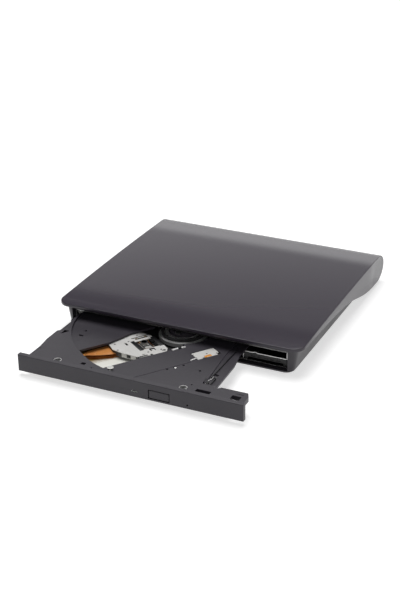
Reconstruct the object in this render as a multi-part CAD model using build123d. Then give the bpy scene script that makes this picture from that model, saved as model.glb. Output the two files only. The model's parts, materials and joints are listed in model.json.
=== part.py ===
from build123d import *
import math
import os

# An external disc drive: a slim tray-loading drive in a two-piece plastic housing.
# Millimetres, +Z up, and the tray comes out along -Y. The origin lies on the flat underside
# of the housing, under the middle of the cover. The tray is drawn part way out.

# The slim drive, with its bezel
DRIVE_WIDTH = 128.0
DRIVE_DEPTH = 127.0
DRIVE_HEIGHT = 9.5
SHEET = 0.5
TOP_SHEET = 0.4

# The tray's travel, and how far out it stands as drawn
TRAY_OUT = 57.1

# The housing round the drive
FLOOR = 1.1
DRIVE_PAD = 0.4
DRIVE_SIDE_GAP = 0.4
DRIVE_BACK_GAP = 0.3
POST_WIDTH = 2.5
SIDE_DRAFT = 0.18
BACK_WALL = 1.0
WING_OVERHANG = 5.9
FRONT_OVERHANG = 2.7
TAIL_SPACE = 10.9
LIP_OVER_DRIVE = 3.3
LIP_THICKNESS = 1.9
CROWN_RISE = 1.65
BACK_RISE = 1.8
COVER_SKIN = 1.8
COVER_CORNER = 7.0
SHELL_CORNER = 5.0
COVER_GAP = 0.25
TAIL_REACH = 10.8
TAIL_HALF_HEIGHT = 8.2
# The wing's lower edge: distance ahead of the tail's centre, and height
WING_EDGE = [(15.5, 2.2), (30.5, 4.9), (47.5, 9.2), (71.5, 12.3), (104.5, 13.8)]

# The bezel and the tray
BEZEL_THICKNESS = 2.8
TRAY_BELOW_TOP = 1.04
WELL_DEPTH = 1.5
WELL_RADIUS = 60.7
TRAY_FLOOR = 1.2
TRAY_WALL = 1.2
TRAY_LEFT_MARGIN = 3.4
BAY_WIDTH = 26.0
RUNNING_GAP = 0.1
HUB_X = 0.4
HUB_BEHIND_FRONT = 65.2

# The pickup sled runs outward from the hub at this angle from +X
SLED_ANGLE = 234.4
LENS_RADIUS_NOW = 24.0

# Worked-out planes and places, all with the tray shut
COVER_DEPTH = FRONT_OVERHANG + DRIVE_DEPTH + TAIL_SPACE
COVER_FRONT_Y = -COVER_DEPTH / 2
FRONT_Y = COVER_FRONT_Y + FRONT_OVERHANG
DRIVE_BACK_Y = FRONT_Y + DRIVE_DEPTH
TAIL_Y = COVER_DEPTH / 2 - TAIL_REACH
DRIVE_Z = FLOOR + DRIVE_PAD
DRIVE_TOP = DRIVE_Z + DRIVE_HEIGHT
DRIVE_HALF = DRIVE_WIDTH / 2
BAY_HALF = DRIVE_HALF + DRIVE_SIDE_GAP
SHELL_HALF = BAY_HALF + POST_WIDTH
COVER_HALF = SHELL_HALF + WING_OVERHANG
SHELL_BACK_Y = DRIVE_BACK_Y + DRIVE_BACK_GAP + BACK_WALL
LIP_BOTTOM = DRIVE_TOP + LIP_OVER_DRIVE
LIP_TOP = LIP_BOTTOM + LIP_THICKNESS
SHELL_TOP = LIP_BOTTOM - 0.3
COVER_TOP = LIP_TOP + BACK_RISE
TAIL_Z = COVER_TOP - TAIL_HALF_HEIGHT
TRAY_FRONT_Y = FRONT_Y + BEZEL_THICKNESS
CHASSIS_FRONT_Y = TRAY_FRONT_Y + 0.2
TRAY_BACK_Y = DRIVE_BACK_Y - 2.9
TRAY_TOP = DRIVE_TOP - TRAY_BELOW_TOP
WELL_Z = TRAY_TOP - WELL_DEPTH
TRAY_UNDER = WELL_Z - TRAY_FLOOR
PAN_TOP = DRIVE_Z + SHEET
TRAY_BOTTOM = PAN_TOP + 1.3
BOTTOM_COVER_Z = PAN_TOP + 0.6
WALL_IN = DRIVE_HALF - SHEET
TRAY_LEFT = -DRIVE_HALF + TRAY_LEFT_MARGIN
SHIELD_X = DRIVE_HALF - BAY_WIDTH
SHIELD_TOP = DRIVE_Z + 5.3
HUB_Y = FRONT_Y + HUB_BEHIND_FRONT
PLATE_Z = BOTTOM_COVER_Z + 0.7
PLATE_SHEET = 0.8
ROD_Z = PLATE_Z + 2.2
DISC_Z = WELL_Z + 0.35

os.makedirs("parts", exist_ok=True)


def block(x0, x1, y0, y1, z0, z1):
    """A box between two corners."""
    middle = Pos((x0 + x1) / 2, (y0 + y1) / 2, (z0 + z1) / 2)
    return middle * Box(x1 - x0, y1 - y0, z1 - z0)


def drum(x, y, z0, z1, radius):
    """An upright cylinder."""
    return Pos(x, y, (z0 + z1) / 2) * Cylinder(radius, z1 - z0)


def slab(points, z0, z1):
    """A flat piece with a straight-sided outline."""
    outline = make_face(Polyline(*points, close=True))
    return Pos(0, 0, z0) * extrude(outline, z1 - z0)


def sled(a, b):
    """A place on the tray: a outward from the hub along the sled, b to its right."""
    turn = math.radians(SLED_ANGLE)
    x = HUB_X + a * math.cos(turn) - b * math.sin(turn)
    y = HUB_Y + a * math.sin(turn) + b * math.cos(turn)
    return x, y


def sled_end(b, y):
    """How far out along the sled the line at b meets the plane at y."""
    turn = math.radians(SLED_ANGLE)
    return (y - HUB_Y - b * math.cos(turn)) / math.sin(turn)


def sled_slab(points, z0, z1):
    """A flat piece with its outline given along and across the sled."""
    return slab([sled(a, b) for a, b in points], z0, z1)


def sled_block(a0, a1, b0, b1, z0, z1):
    """A box lined up with the sled."""
    return sled_slab([(a0, b0), (a1, b0), (a1, b1), (a0, b1)], z0, z1)


def sled_rod(a0, a1, b, z, radius):
    """A round bar along the sled."""
    x, y = sled((a0 + a1) / 2, b)
    return Pos(x, y, z) * Rot(0, 0, SLED_ANGLE) * Rot(0, 90, 0) * Cylinder(radius, a1 - a0)


def save(name, shapes, out=0.0):
    """Write one node, moved out of the housing by the given distance."""
    solids = []
    for shape in shapes if isinstance(shapes, list) else [shapes]:
        solids.extend((Pos(0, -out, 0) * shape).solids())
    export_step(solids[0] if len(solids) == 1 else Compound(children=solids), f"parts/{name}.step")


# Top cover

def cover_profile(inset):
    """The cover's side outline, drawn inward by inset, from the lip over the crown to the tail."""
    front = COVER_FRONT_Y + inset
    lip_top = LIP_TOP - inset
    crown = LIP_TOP + CROWN_RISE - inset
    tail_top = COVER_TOP - inset
    tail = EllipticalCenterArc((TAIL_Y, TAIL_Z), TAIL_REACH - inset, TAIL_HALF_HEIGHT - inset,
                               start_angle=-90, arc_size=180)
    top = ThreePointArc((TAIL_Y, tail_top), (-6, crown), (front, lip_top))
    return tail, top, front


def cover_body():
    """The cover as a solid wing."""
    tail, top, front = cover_profile(0)
    lip = Line((front, LIP_TOP), (front, LIP_BOTTOM))
    edge_points = [(TAIL_Y - back, height) for back, height in reversed(WING_EDGE)]
    edge = Spline((front, LIP_BOTTOM), *edge_points, (TAIL_Y, TAIL_Z - TAIL_HALF_HEIGHT),
                  tangents=[(1, -0.01), (1, 0)])
    outline = make_face([tail, top, lip, edge])
    body = extrude(Plane.YZ * outline, COVER_HALF, both=True)
    corners = body.edges().filter_by(Axis.Z).group_by(Axis.Y)[0]
    body = fillet(corners, COVER_CORNER)
    rim = [e for e in body.edges() if e.center().Z > LIP_TOP - 1.0 or e.center().Y > TAIL_Y + 1.0]
    return fillet(rim, 0.45)


def shell_body(grow, front_y, top, bevel=0.0):
    """The drafted lower body, grown sideways, up to the given height, with its bottom edge bevelled."""
    def outline(z, inset=0.0):
        half = SHELL_HALF + SIDE_DRAFT * z + grow - inset
        front = front_y + inset
        back = SHELL_BACK_Y + grow - inset
        face = Pos(0, (front + back) / 2, z) * Rectangle(2 * half, back - front)
        return fillet(face.vertices().group_by(Axis.Y)[0], SHELL_CORNER - inset)
    if bevel == 0:
        return loft([outline(0), outline(top)], ruled=True)
    return loft([outline(0, bevel), outline(bevel), outline(top)], ruled=True)


def cover_cavity():
    """The hollow above the drive and inside the tail."""
    tail, top, front = cover_profile(COVER_SKIN)
    tail_floor = TAIL_Z - TAIL_HALF_HEIGHT + COVER_SKIN
    low = Polyline((front, LIP_TOP - COVER_SKIN), (front, LIP_BOTTOM - 0.1), (TAIL_Y, LIP_BOTTOM - 0.1),
                   (TAIL_Y, tail_floor))
    outline = make_face([tail, top, low])
    hollow = extrude(Plane.YZ * outline, SHELL_HALF + SIDE_DRAFT * LIP_BOTTOM, both=True)
    return hollow & block(-200, 200, FRONT_Y + COVER_SKIN, 200, 0, 50)


RIB = 1.2
RIB_BOTTOM = DRIVE_TOP + 0.15
HOUSING_SCREW_X = DRIVE_HALF - 6.0
HOUSING_SCREW_Y = SHELL_BACK_Y + 2.6
SHELF_DEPTH = 4.2
SOCKET_X = -DRIVE_HALF + 19.0
SOCKET_HALF = 6.1
SHELF_Z = TAIL_Z - 4.8
HEAD_Z = TAIL_Z - 7.6
HEAD_TOP = HEAD_Z + 1.2
SHELF = 0.9
BOARD_Z = SHELF_Z + SHELF + 0.5
BRIDGE_BOARD = 1.0
BOARD_TOP = BOARD_Z + BRIDGE_BOARD
SOCKET_HEIGHT = 2.6


def make_top_cover():
    cover = cover_body()
    cover -= shell_body(COVER_GAP, COVER_FRONT_Y - 8, LIP_BOTTOM - 0.1)
    cover -= cover_cavity()
    for y in (FRONT_Y + 5.2, -22, 20, DRIVE_BACK_Y - 4):
        cover += block(-BAY_HALF + 2, BAY_HALF - 2, y, y + RIB, RIB_BOTTOM, LIP_TOP - 0.6)
    for x in (-32, 32):
        cover += block(x, x + RIB, FRONT_Y + 5.2, DRIVE_BACK_Y - 4, RIB_BOTTOM + 0.6, LIP_TOP - 0.6)
    for side in (-1, 1):
        x = side * HOUSING_SCREW_X
        cover += drum(x, HOUSING_SCREW_Y, HEAD_Z + 0.4, SHELF_Z - 0.4, 2.4)
        cover -= drum(x, HOUSING_SCREW_Y, -5, HEAD_TOP, 1.8)
        cover -= drum(x, HOUSING_SCREW_Y, -5, SHELF_Z + 4, 1.15)
    mouth = Pos(SOCKET_X, COVER_DEPTH / 2, BOARD_TOP + SOCKET_HEIGHT / 2)
    cover -= mouth * Box(2 * SOCKET_HALF + 0.6, 8, SOCKET_HEIGHT + 0.6)
    return cover


# Lower housing

FOOT_RADIUS = 5.0
FOOT_DROP = 1.0
FOOT_RECESS = 0.5
FOOT_X = DRIVE_HALF - 12.0
FOOT_SEAT = 0.15
PAD_X = DRIVE_HALF - 14.0
FOOT_FRONT_Y = FRONT_Y + 13.0
FOOT_BACK_Y = SHELL_BACK_Y - 12.0


def foot_places():
    return [(x, y) for x in (-FOOT_X, FOOT_X) for y in (FOOT_FRONT_Y, FOOT_BACK_Y)]


def make_bottom_shell():
    shell = shell_body(0, FRONT_Y, SHELL_TOP, bevel=0.5)
    shell -= block(-BAY_HALF, BAY_HALF, FRONT_Y - 5, DRIVE_BACK_Y + DRIVE_BACK_GAP, FLOOR, 30)
    # A shelf reaches back into the tail and carries the bridge board
    shelf_half = DRIVE_HALF - 1.5
    shell += block(-shelf_half, shelf_half, SHELL_BACK_Y - 0.5, SHELL_BACK_Y + SHELF_DEPTH, SHELF_Z,
                   SHELF_Z + SHELF)
    for x in (-PAD_X, -PAD_X / 3, PAD_X / 3, PAD_X):
        shell += block(x - 2, x + 2, SHELL_BACK_Y - 0.5, SHELL_BACK_Y + SHELF_DEPTH, SHELF_Z + SHELF, BOARD_Z)
    for side in (-1, 1):
        x = side * HOUSING_SCREW_X
        shell += drum(x, HOUSING_SCREW_Y, SHELF_Z - 0.3, SHELF_Z + SHELF, 1.6)
        shell -= drum(x, HOUSING_SCREW_Y, SHELF_Z - 2, SHELF_Z + 4, 0.8)
    # The wall behind the drive is cut down to let the connectors meet
    shell -= block(-shelf_half + 0.2, shelf_half - 0.2, DRIVE_BACK_Y - 1, SHELL_BACK_Y + 1, BOARD_Z - 0.1, 30)
    # Low pads under the drive, on ribs across the floor
    for y in (FRONT_Y + 6, -25, 15, DRIVE_BACK_Y - 8):
        for x in (-PAD_X, 0, PAD_X):
            shell += block(x - 6, x + 6, y - 1.5, y + 1.5, FLOOR - 0.2, DRIVE_Z)
    for x, y in foot_places():
        shell -= drum(x, y, -1, FOOT_RECESS, FOOT_RADIUS + FOOT_SEAT)
    return shell


def make_feet():
    feet = []
    for x, y in foot_places():
        foot = drum(x, y, -FOOT_DROP, FOOT_RECESS, FOOT_RADIUS)
        feet.append(fillet(foot.edges().group_by(Axis.Z)[0], 0.4))
    return feet


def make_housing_screws():
    screws = []
    for side in (-1, 1):
        x = side * HOUSING_SCREW_X
        screw = drum(x, HOUSING_SCREW_Y, HEAD_Z, HEAD_TOP, 1.6)
        screw += drum(x, HOUSING_SCREW_Y, HEAD_TOP - 0.1, SHELF_Z + SHELF, 0.8)
        recess = Pos(x, HOUSING_SCREW_Y, HEAD_Z + 0.2) * (Box(2.2, 0.5, 0.8) + Box(0.5, 2.2, 0.8))
        screws.append(screw - recess)
    return screws


def make_bridge_board():
    half = DRIVE_HALF - 11.5
    board = block(-half, half, SHELL_BACK_Y + 0.2, SHELL_BACK_Y + 6.0, BOARD_Z, BOARD_TOP)
    chips = [(-25, 7, 4.6, 1.2), (-12, 4, 3, 0.9), (-2, 3.4, 2.4, 0.8), (8, 5, 4, 1.0), (17, 2.4, 3.6, 1.4)]
    for x, width, depth, height in chips:
        board += Pos(x, SHELL_BACK_Y + 3.1, BOARD_TOP + height / 2) * Box(width, depth, height)
    return board


def make_data_socket():
    front = SHELL_BACK_Y + 1.4
    mouth = COVER_DEPTH / 2 - 0.7
    z = BOARD_TOP + SOCKET_HEIGHT / 2
    middle = Pos(SOCKET_X, (front + mouth) / 2, z)
    shell = middle * Box(2 * SOCKET_HALF, mouth - front, SOCKET_HEIGHT)
    shell -= Pos(0, 1.2, 0) * middle * Box(2 * SOCKET_HALF - 0.6, mouth - front, SOCKET_HEIGHT - 0.6)
    tongue = Pos(SOCKET_X, mouth - 3.0, z + 0.1) * Box(2 * SOCKET_HALF - 3.4, 5.0, 0.7)
    web = Pos(SOCKET_X, front + 1.6, z) * Box(2 * SOCKET_HALF - 0.6, 2.0, SOCKET_HEIGHT - 0.6)
    return shell + web + tongue


CONNECTOR_X = SHIELD_X + 12.7
CONNECTOR_HALF = 10.5
CONNECTOR_Z = BOARD_TOP


def make_drive_connector():
    """The socket on the bridge board that takes the drive's blade connector."""
    x0 = CONNECTOR_X - CONNECTOR_HALF
    x1 = CONNECTOR_X + CONNECTOR_HALF
    body = block(x0, x1, DRIVE_BACK_Y + 0.2, SHELL_BACK_Y + 5.6, CONNECTOR_Z, CONNECTOR_Z + 3.0)
    body -= block(x0 + 1, x1 - 1, DRIVE_BACK_Y, SHELL_BACK_Y + 3.4, CONNECTOR_Z + 0.8, CONNECTOR_Z + 2.2)
    return body


# The drive's sheet-metal body

def make_chassis():
    depth_back = DRIVE_BACK_Y
    wall_top = DRIVE_TOP - TOP_SHEET
    pan = block(-DRIVE_HALF, DRIVE_HALF, CHASSIS_FRONT_Y, depth_back, DRIVE_Z, wall_top)
    pan -= block(-WALL_IN, WALL_IN, CHASSIS_FRONT_Y - 1, depth_back - SHEET, PAN_TOP, 30)
    # Pressed relief windows in the pan, and a low front lip
    for x, y, width, depth in ((-20, 25, 46, 22), (-30, -32, 30, 20), (8, -40, 22, 12)):
        pan -= Pos(x, y, PAN_TOP) * Box(width, depth, 0.4)
    # The back wall opens where the blade connector stands
    pan -= block(CONNECTOR_X - CONNECTOR_HALF - 0.6, CONNECTOR_X + CONNECTOR_HALF + 0.6,
                 depth_back - 2, depth_back + 1, PAN_TOP + 1.2, 30)
    for y in (-40, 0, 40):
        for side in (-1, 1):
            pan -= Pos(side * DRIVE_HALF, y, DRIVE_Z + 3.0) * Rot(0, 90, 0) * Cylinder(1.0, 3)
    return pan


def make_drive_top_cover():
    z0 = DRIVE_TOP - TOP_SHEET
    top = block(-DRIVE_HALF, DRIVE_HALF, CHASSIS_FRONT_Y, DRIVE_BACK_Y, z0, DRIVE_TOP)
    for side in (-1, 1):
        x = side * (WALL_IN - 0.25)
        top += block(x - 0.2, x + 0.2, CHASSIS_FRONT_Y + 1, DRIVE_BACK_Y - 3, z0 - 1.6, z0 + 0.1)
    # A shallow pressed field over the disc
    top -= drum(HUB_X, HUB_Y, DRIVE_TOP - 0.15, DRIVE_TOP + 1, 46)
    top -= drum(HUB_X, HUB_Y, z0 - 1, DRIVE_TOP + 1, 8.5)
    return top


def make_board_shield():
    """The folded plate that closes the board bay on the right."""
    right = WALL_IN - 0.1
    front = CHASSIS_FRONT_Y + 0.1
    back = DRIVE_BACK_Y - 7
    plate = block(SHIELD_X, right, front, back, SHIELD_TOP - 0.4, SHIELD_TOP)
    plate += block(SHIELD_X, SHIELD_X + 0.4, front, back, PAN_TOP + 0.5, SHIELD_TOP)
    plate += block(right - 0.4, right, front, back, SHIELD_TOP - 0.4, DRIVE_TOP - TOP_SHEET - 1.8)
    plate -= block(SHIELD_X - 1, SHIELD_X + 2, -9, 13, 0, SHIELD_TOP - 3.6)
    for y in (-40, 30):
        plate -= Pos(SHIELD_X + 12, y, SHIELD_TOP) * Box(10, 24, 0.4)
    plate += drum(SHIELD_X + 7, front + 1.6, SHIELD_TOP - 0.1, SHIELD_TOP + 0.3, 1.2)
    # Feet folded down to the pan
    for y in (front + 6, back - 6):
        plate += block(SHIELD_X, SHIELD_X + 0.4, y - 2, y + 2, PAN_TOP, SHIELD_TOP)
        plate += block(SHIELD_X, SHIELD_X + 4, y - 2, y + 2, PAN_TOP, PAN_TOP + 0.4)
    return plate


def make_bay_spacer():
    """The plastic bar that closes the board bay at the front, under the folded plate."""
    x0 = SHIELD_X + 0.6
    x1 = WALL_IN - 0.7
    front = CHASSIS_FRONT_Y + 0.3
    slot_top = PAN_TOP + 1.6
    bar = block(x0, x1, front, front + 2.4, slot_top, SHIELD_TOP - 0.9)
    bar += block(x0, x1, front + 1.6, front + 2.4, slot_top, SHIELD_TOP - 0.4)
    for x in (x0, x1 - 2.0):
        bar += block(x, x + 2.0, front + 0.4, front + 2.4, PAN_TOP, slot_top)
    for k in range(5):
        x = x0 + 4.0 + 3.6 * k
        bar -= block(x, x + 2.4, front - 1, front + 0.4, slot_top + 0.5, SHIELD_TOP - 1.4)
    return bar


MAIN_BOARD_Z = PAN_TOP + 1.4
MAIN_BOARD = 0.8


def make_main_board():
    front = CHASSIS_FRONT_Y + 3.5
    board = block(SHIELD_X + 1.2, WALL_IN - 1.6, front, DRIVE_BACK_Y - 2.2, MAIN_BOARD_Z,
                  MAIN_BOARD_Z + MAIN_BOARD)
    for y in (-35, 35):
        board += drum(SHIELD_X + 20, y, PAN_TOP, MAIN_BOARD_Z, 1.6)
    return board


def make_board_chips():
    top = MAIN_BOARD_Z + MAIN_BOARD
    parts = []
    for y, width, depth, height in ((-42, 12, 12, 1.0), (-20, 7, 9, 0.9), (2, 14, 14, 1.1), (24, 5, 6, 0.8)):
        chip = Pos(SHIELD_X + 12.5, y, top + height / 2) * Box(width, depth, height)
        parts.append(chamfer(chip.edges().group_by(Axis.Z)[-1], 0.2))
    return parts


def make_board_connector():
    """The blade connector on the main board, facing back."""
    x0 = CONNECTOR_X - CONNECTOR_HALF
    x1 = CONNECTOR_X + CONNECTOR_HALF
    top = MAIN_BOARD_Z + MAIN_BOARD
    body = block(x0, x1, DRIVE_BACK_Y - 6.6, DRIVE_BACK_Y - 0.6, top, CONNECTOR_Z + 2.4)
    blade = block(x0 + 1.2, x1 - 1.2, DRIVE_BACK_Y - 1, SHELL_BACK_Y + 2.6, CONNECTOR_Z + 1.0,
                  CONNECTOR_Z + 2.0)
    return body + blade


GUIDE_Z0 = PAN_TOP + 1.4
LEFT_GUIDE_Z1 = DRIVE_TOP - 2.4
RIGHT_GUIDE_Z1 = SHIELD_TOP - 0.1
GUIDE_WEB = 0.7
GUIDE_REACH = 2.1
GUIDE_LIP = 0.7
RAIL_SHEET = 0.5
RAIL_REACH = 2.0
RAIL_LENGTH = 100.0
TONGUE_REACH = 2.4
GUIDE_FRONT_Y = CHASSIS_FRONT_Y + 2.6
RAIL_FRONT_Y = GUIDE_FRONT_Y + 18.0


def channel(wall_x, side, y0, y1, z0, z1, web, lip, reach):
    """A C-shaped strip on a wall, open towards the tray. side is 1 when it opens to +X."""
    x1 = wall_x + side * reach
    low, high = min(wall_x, x1), max(wall_x, x1)
    strip = block(low, high, y0, y1, z0, z1)
    inner0, inner1 = sorted((wall_x + side * web, x1 + side))
    return strip - block(inner0, inner1, y0 - 1, y1 + 1, z0 + lip, z1 - lip)


def guide(wall_x, side, top):
    return channel(wall_x, side, GUIDE_FRONT_Y, DRIVE_BACK_Y - 2, GUIDE_Z0, top, GUIDE_WEB, GUIDE_LIP,
                   GUIDE_REACH)


def rail(wall_x, side, top):
    x = wall_x + side * (GUIDE_WEB + RUNNING_GAP)
    z0 = GUIDE_Z0 + GUIDE_LIP + RUNNING_GAP
    z1 = top - GUIDE_LIP - RUNNING_GAP
    return channel(x, side, RAIL_FRONT_Y, RAIL_FRONT_Y + RAIL_LENGTH, z0, z1, RAIL_SHEET, RAIL_SHEET,
                   RAIL_REACH)


def tongue(wall_x, side, top):
    """The rib on the tray that runs in the rail."""
    x0 = wall_x + side * (GUIDE_WEB + RUNNING_GAP + RAIL_SHEET + RUNNING_GAP)
    x1 = x0 + side * TONGUE_REACH
    edge = GUIDE_LIP + RAIL_SHEET + 2 * RUNNING_GAP
    return block(min(x0, x1), max(x0, x1), RAIL_FRONT_Y + 1, TRAY_BACK_Y, GUIDE_Z0 + edge, top - edge)


LEFT_WALL_X = -WALL_IN
RIGHT_WALL_X = SHIELD_X
# The tray's side walls stand clear of the rails
TRAY_SIDE_CLEAR = GUIDE_WEB + RUNNING_GAP + RAIL_REACH + 0.2
TRAY_BODY_LEFT = LEFT_WALL_X + TRAY_SIDE_CLEAR
TRAY_BODY_RIGHT = RIGHT_WALL_X - TRAY_SIDE_CLEAR

LATCH_X = TRAY_BODY_RIGHT - 4.6
LATCH_Y = TRAY_FRONT_Y + 13.2
LATCH_POST_RADIUS = 0.8


def make_latch_post():
    post = drum(LATCH_X, LATCH_Y, PAN_TOP, PAN_TOP + 2.6, LATCH_POST_RADIUS)
    return post + drum(LATCH_X, LATCH_Y, PAN_TOP, PAN_TOP + 0.4, 1.8)


# The two ribbons between the board and the tray

RIBBON_X0 = TRAY_LEFT + 10.5
RIBBON_X1 = RIBBON_X0 + 16
RIBBON = 0.1
RIBBON_FOLD = 0.75
LOW_LEG = 52.0
HIGH_LEG = 68.0


def make_board_ribbon():
    z = PAN_TOP + 0.02
    return block(RIBBON_X0, SHIELD_X + 7, -6, 10, z, z + RIBBON)


def folded_ribbon(plane, low_start, high_start, fold, low, high, width):
    """A ribbon that runs out low, folds round and runs back high; width goes along the plane's normal."""
    middle = (low + high) / 2
    reach = (high - low) / 2
    outer_turn = ThreePointArc((fold, low), (fold + reach, middle), (fold, high))
    inner_turn = ThreePointArc((fold, low + RIBBON), (fold + reach - RIBBON, middle), (fold, high - RIBBON))
    low_edges = Polyline((fold, low), (low_start, low), (low_start, low + RIBBON), (fold, low + RIBBON))
    high_edges = Polyline((fold, high), (high_start, high), (high_start, high - RIBBON),
                          (fold, high - RIBBON))
    outline = make_face([outer_turn, inner_turn, low_edges, high_edges])
    return extrude(plane * outline, width)


def make_main_ribbon():
    """The folded ribbon: a lower leg on the pan, a fold, and an upper leg under the tray."""
    low = PAN_TOP + 0.02 + RIBBON + 0.05
    fold_y = DRIVE_BACK_Y - 3.4
    plane = Plane(origin=(RIBBON_X0, 0, 0), x_dir=(0, 1, 0), z_dir=(1, 0, 0))
    return folded_ribbon(plane, fold_y - LOW_LEG, fold_y - HIGH_LEG, fold_y, low, low + 2 * RIBBON_FOLD,
                         RIBBON_X1 - RIBBON_X0)


# Tray

ARM_X = DRIVE_HALF - 1.3
ARM_BACK_Y = TRAY_FRONT_Y + 10.8
ARM_Z = TRAY_TOP - 2.5
OVERHANG_X = SHIELD_X + 5.1
# The low ledge along the tray's right side, above the folded plate of the board bay
LEDGE_X = SHIELD_X - 1.8
LEDGE_BACK_X = SHIELD_X + 1.7
LEDGE_Y = TRAY_FRONT_Y + 10.5
LEDGE_TOP = WELL_Z - 0.5
LEDGE_BOTTOM = SHIELD_TOP + 0.25
CATCH_X = SHIELD_X - 2.4
CATCH_Y = FRONT_Y + 14.2
CATCH_WIDTH = 3.2
CATCH_LENGTH = 13.8
# Holes in the deck: place from the middle and from the front face, and radius
DECK_HOLES = [(12.0, 21.8, 0.7), (18.0, 29.0, 0.7), (15.1, 25.1, 0.9), (28.2, 27.1, 0.8), (-47.8, 43.0, 0.8),
              (-14.6, 9.8, 1.2), (31.8, 9.8, 0.5)]
DECK_MARKS = [[(-24.2, 3.2), (-20.6, 3.2), (-22.6, 5.4)], [(-57.1, 31.7), (-57.3, 36.7), (-54.0, 36.8)]]
WINDOW_LEFT = -7.4
WINDOW_RIGHT = 17.0


def tray_outline():
    """The deck's outline: stepped left edge, straight back, and the arm at the right front."""
    left = TRAY_LEFT
    front = TRAY_FRONT_Y
    return [(left + 3.4, front), (left + 3.0, front + 10.4), (left + 1.2, front + 12.2), (left, front + 21),
            (left, front + 31.4), (left + 2.7, front + 34.4), (left + 2.7, front + 43.2),
            (left + 0.6, front + 45.4), (left + 0.6, TRAY_BACK_Y), (TRAY_BODY_RIGHT + 0.8, TRAY_BACK_Y),
            (TRAY_BODY_RIGHT + 0.8, TRAY_BACK_Y - 12), (LEDGE_BACK_X, TRAY_BACK_Y - 15),
            (LEDGE_BACK_X, front + 49.1), (LEDGE_BACK_X + 2.2, front + 36.8), (OVERHANG_X, front + 9.4),
            (OVERHANG_X + 1.2, front + 8.2), (OVERHANG_X + 3.8, ARM_BACK_Y), (ARM_X - 1.8, ARM_BACK_Y),
            (ARM_X, ARM_BACK_Y - 3.8), (ARM_X, front)]


def body_outline(inset):
    """The deeper body under the deck, between the runner rails."""
    left = TRAY_BODY_LEFT + inset
    right = TRAY_BODY_RIGHT - inset
    front = TRAY_FRONT_Y + inset
    back = TRAY_BACK_Y - inset
    return [(left, front), (left, back), (right, back), (right, front)]


def window_cut():
    """The opening for the pickup: along the sled, ending on the well's arc, and round the hub."""
    run = [(8, -12), (26, -11.6), (35, -9.0), (42, WINDOW_LEFT), (70, WINDOW_LEFT), (70, WINDOW_RIGHT),
           (8, WINDOW_RIGHT)]
    cut = sled_slab(run, 0, 30) & drum(HUB_X, HUB_Y, 0, 30, WELL_RADIUS - 1.6)
    return cut + drum(HUB_X, HUB_Y, 0, 30, 16.5)


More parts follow.
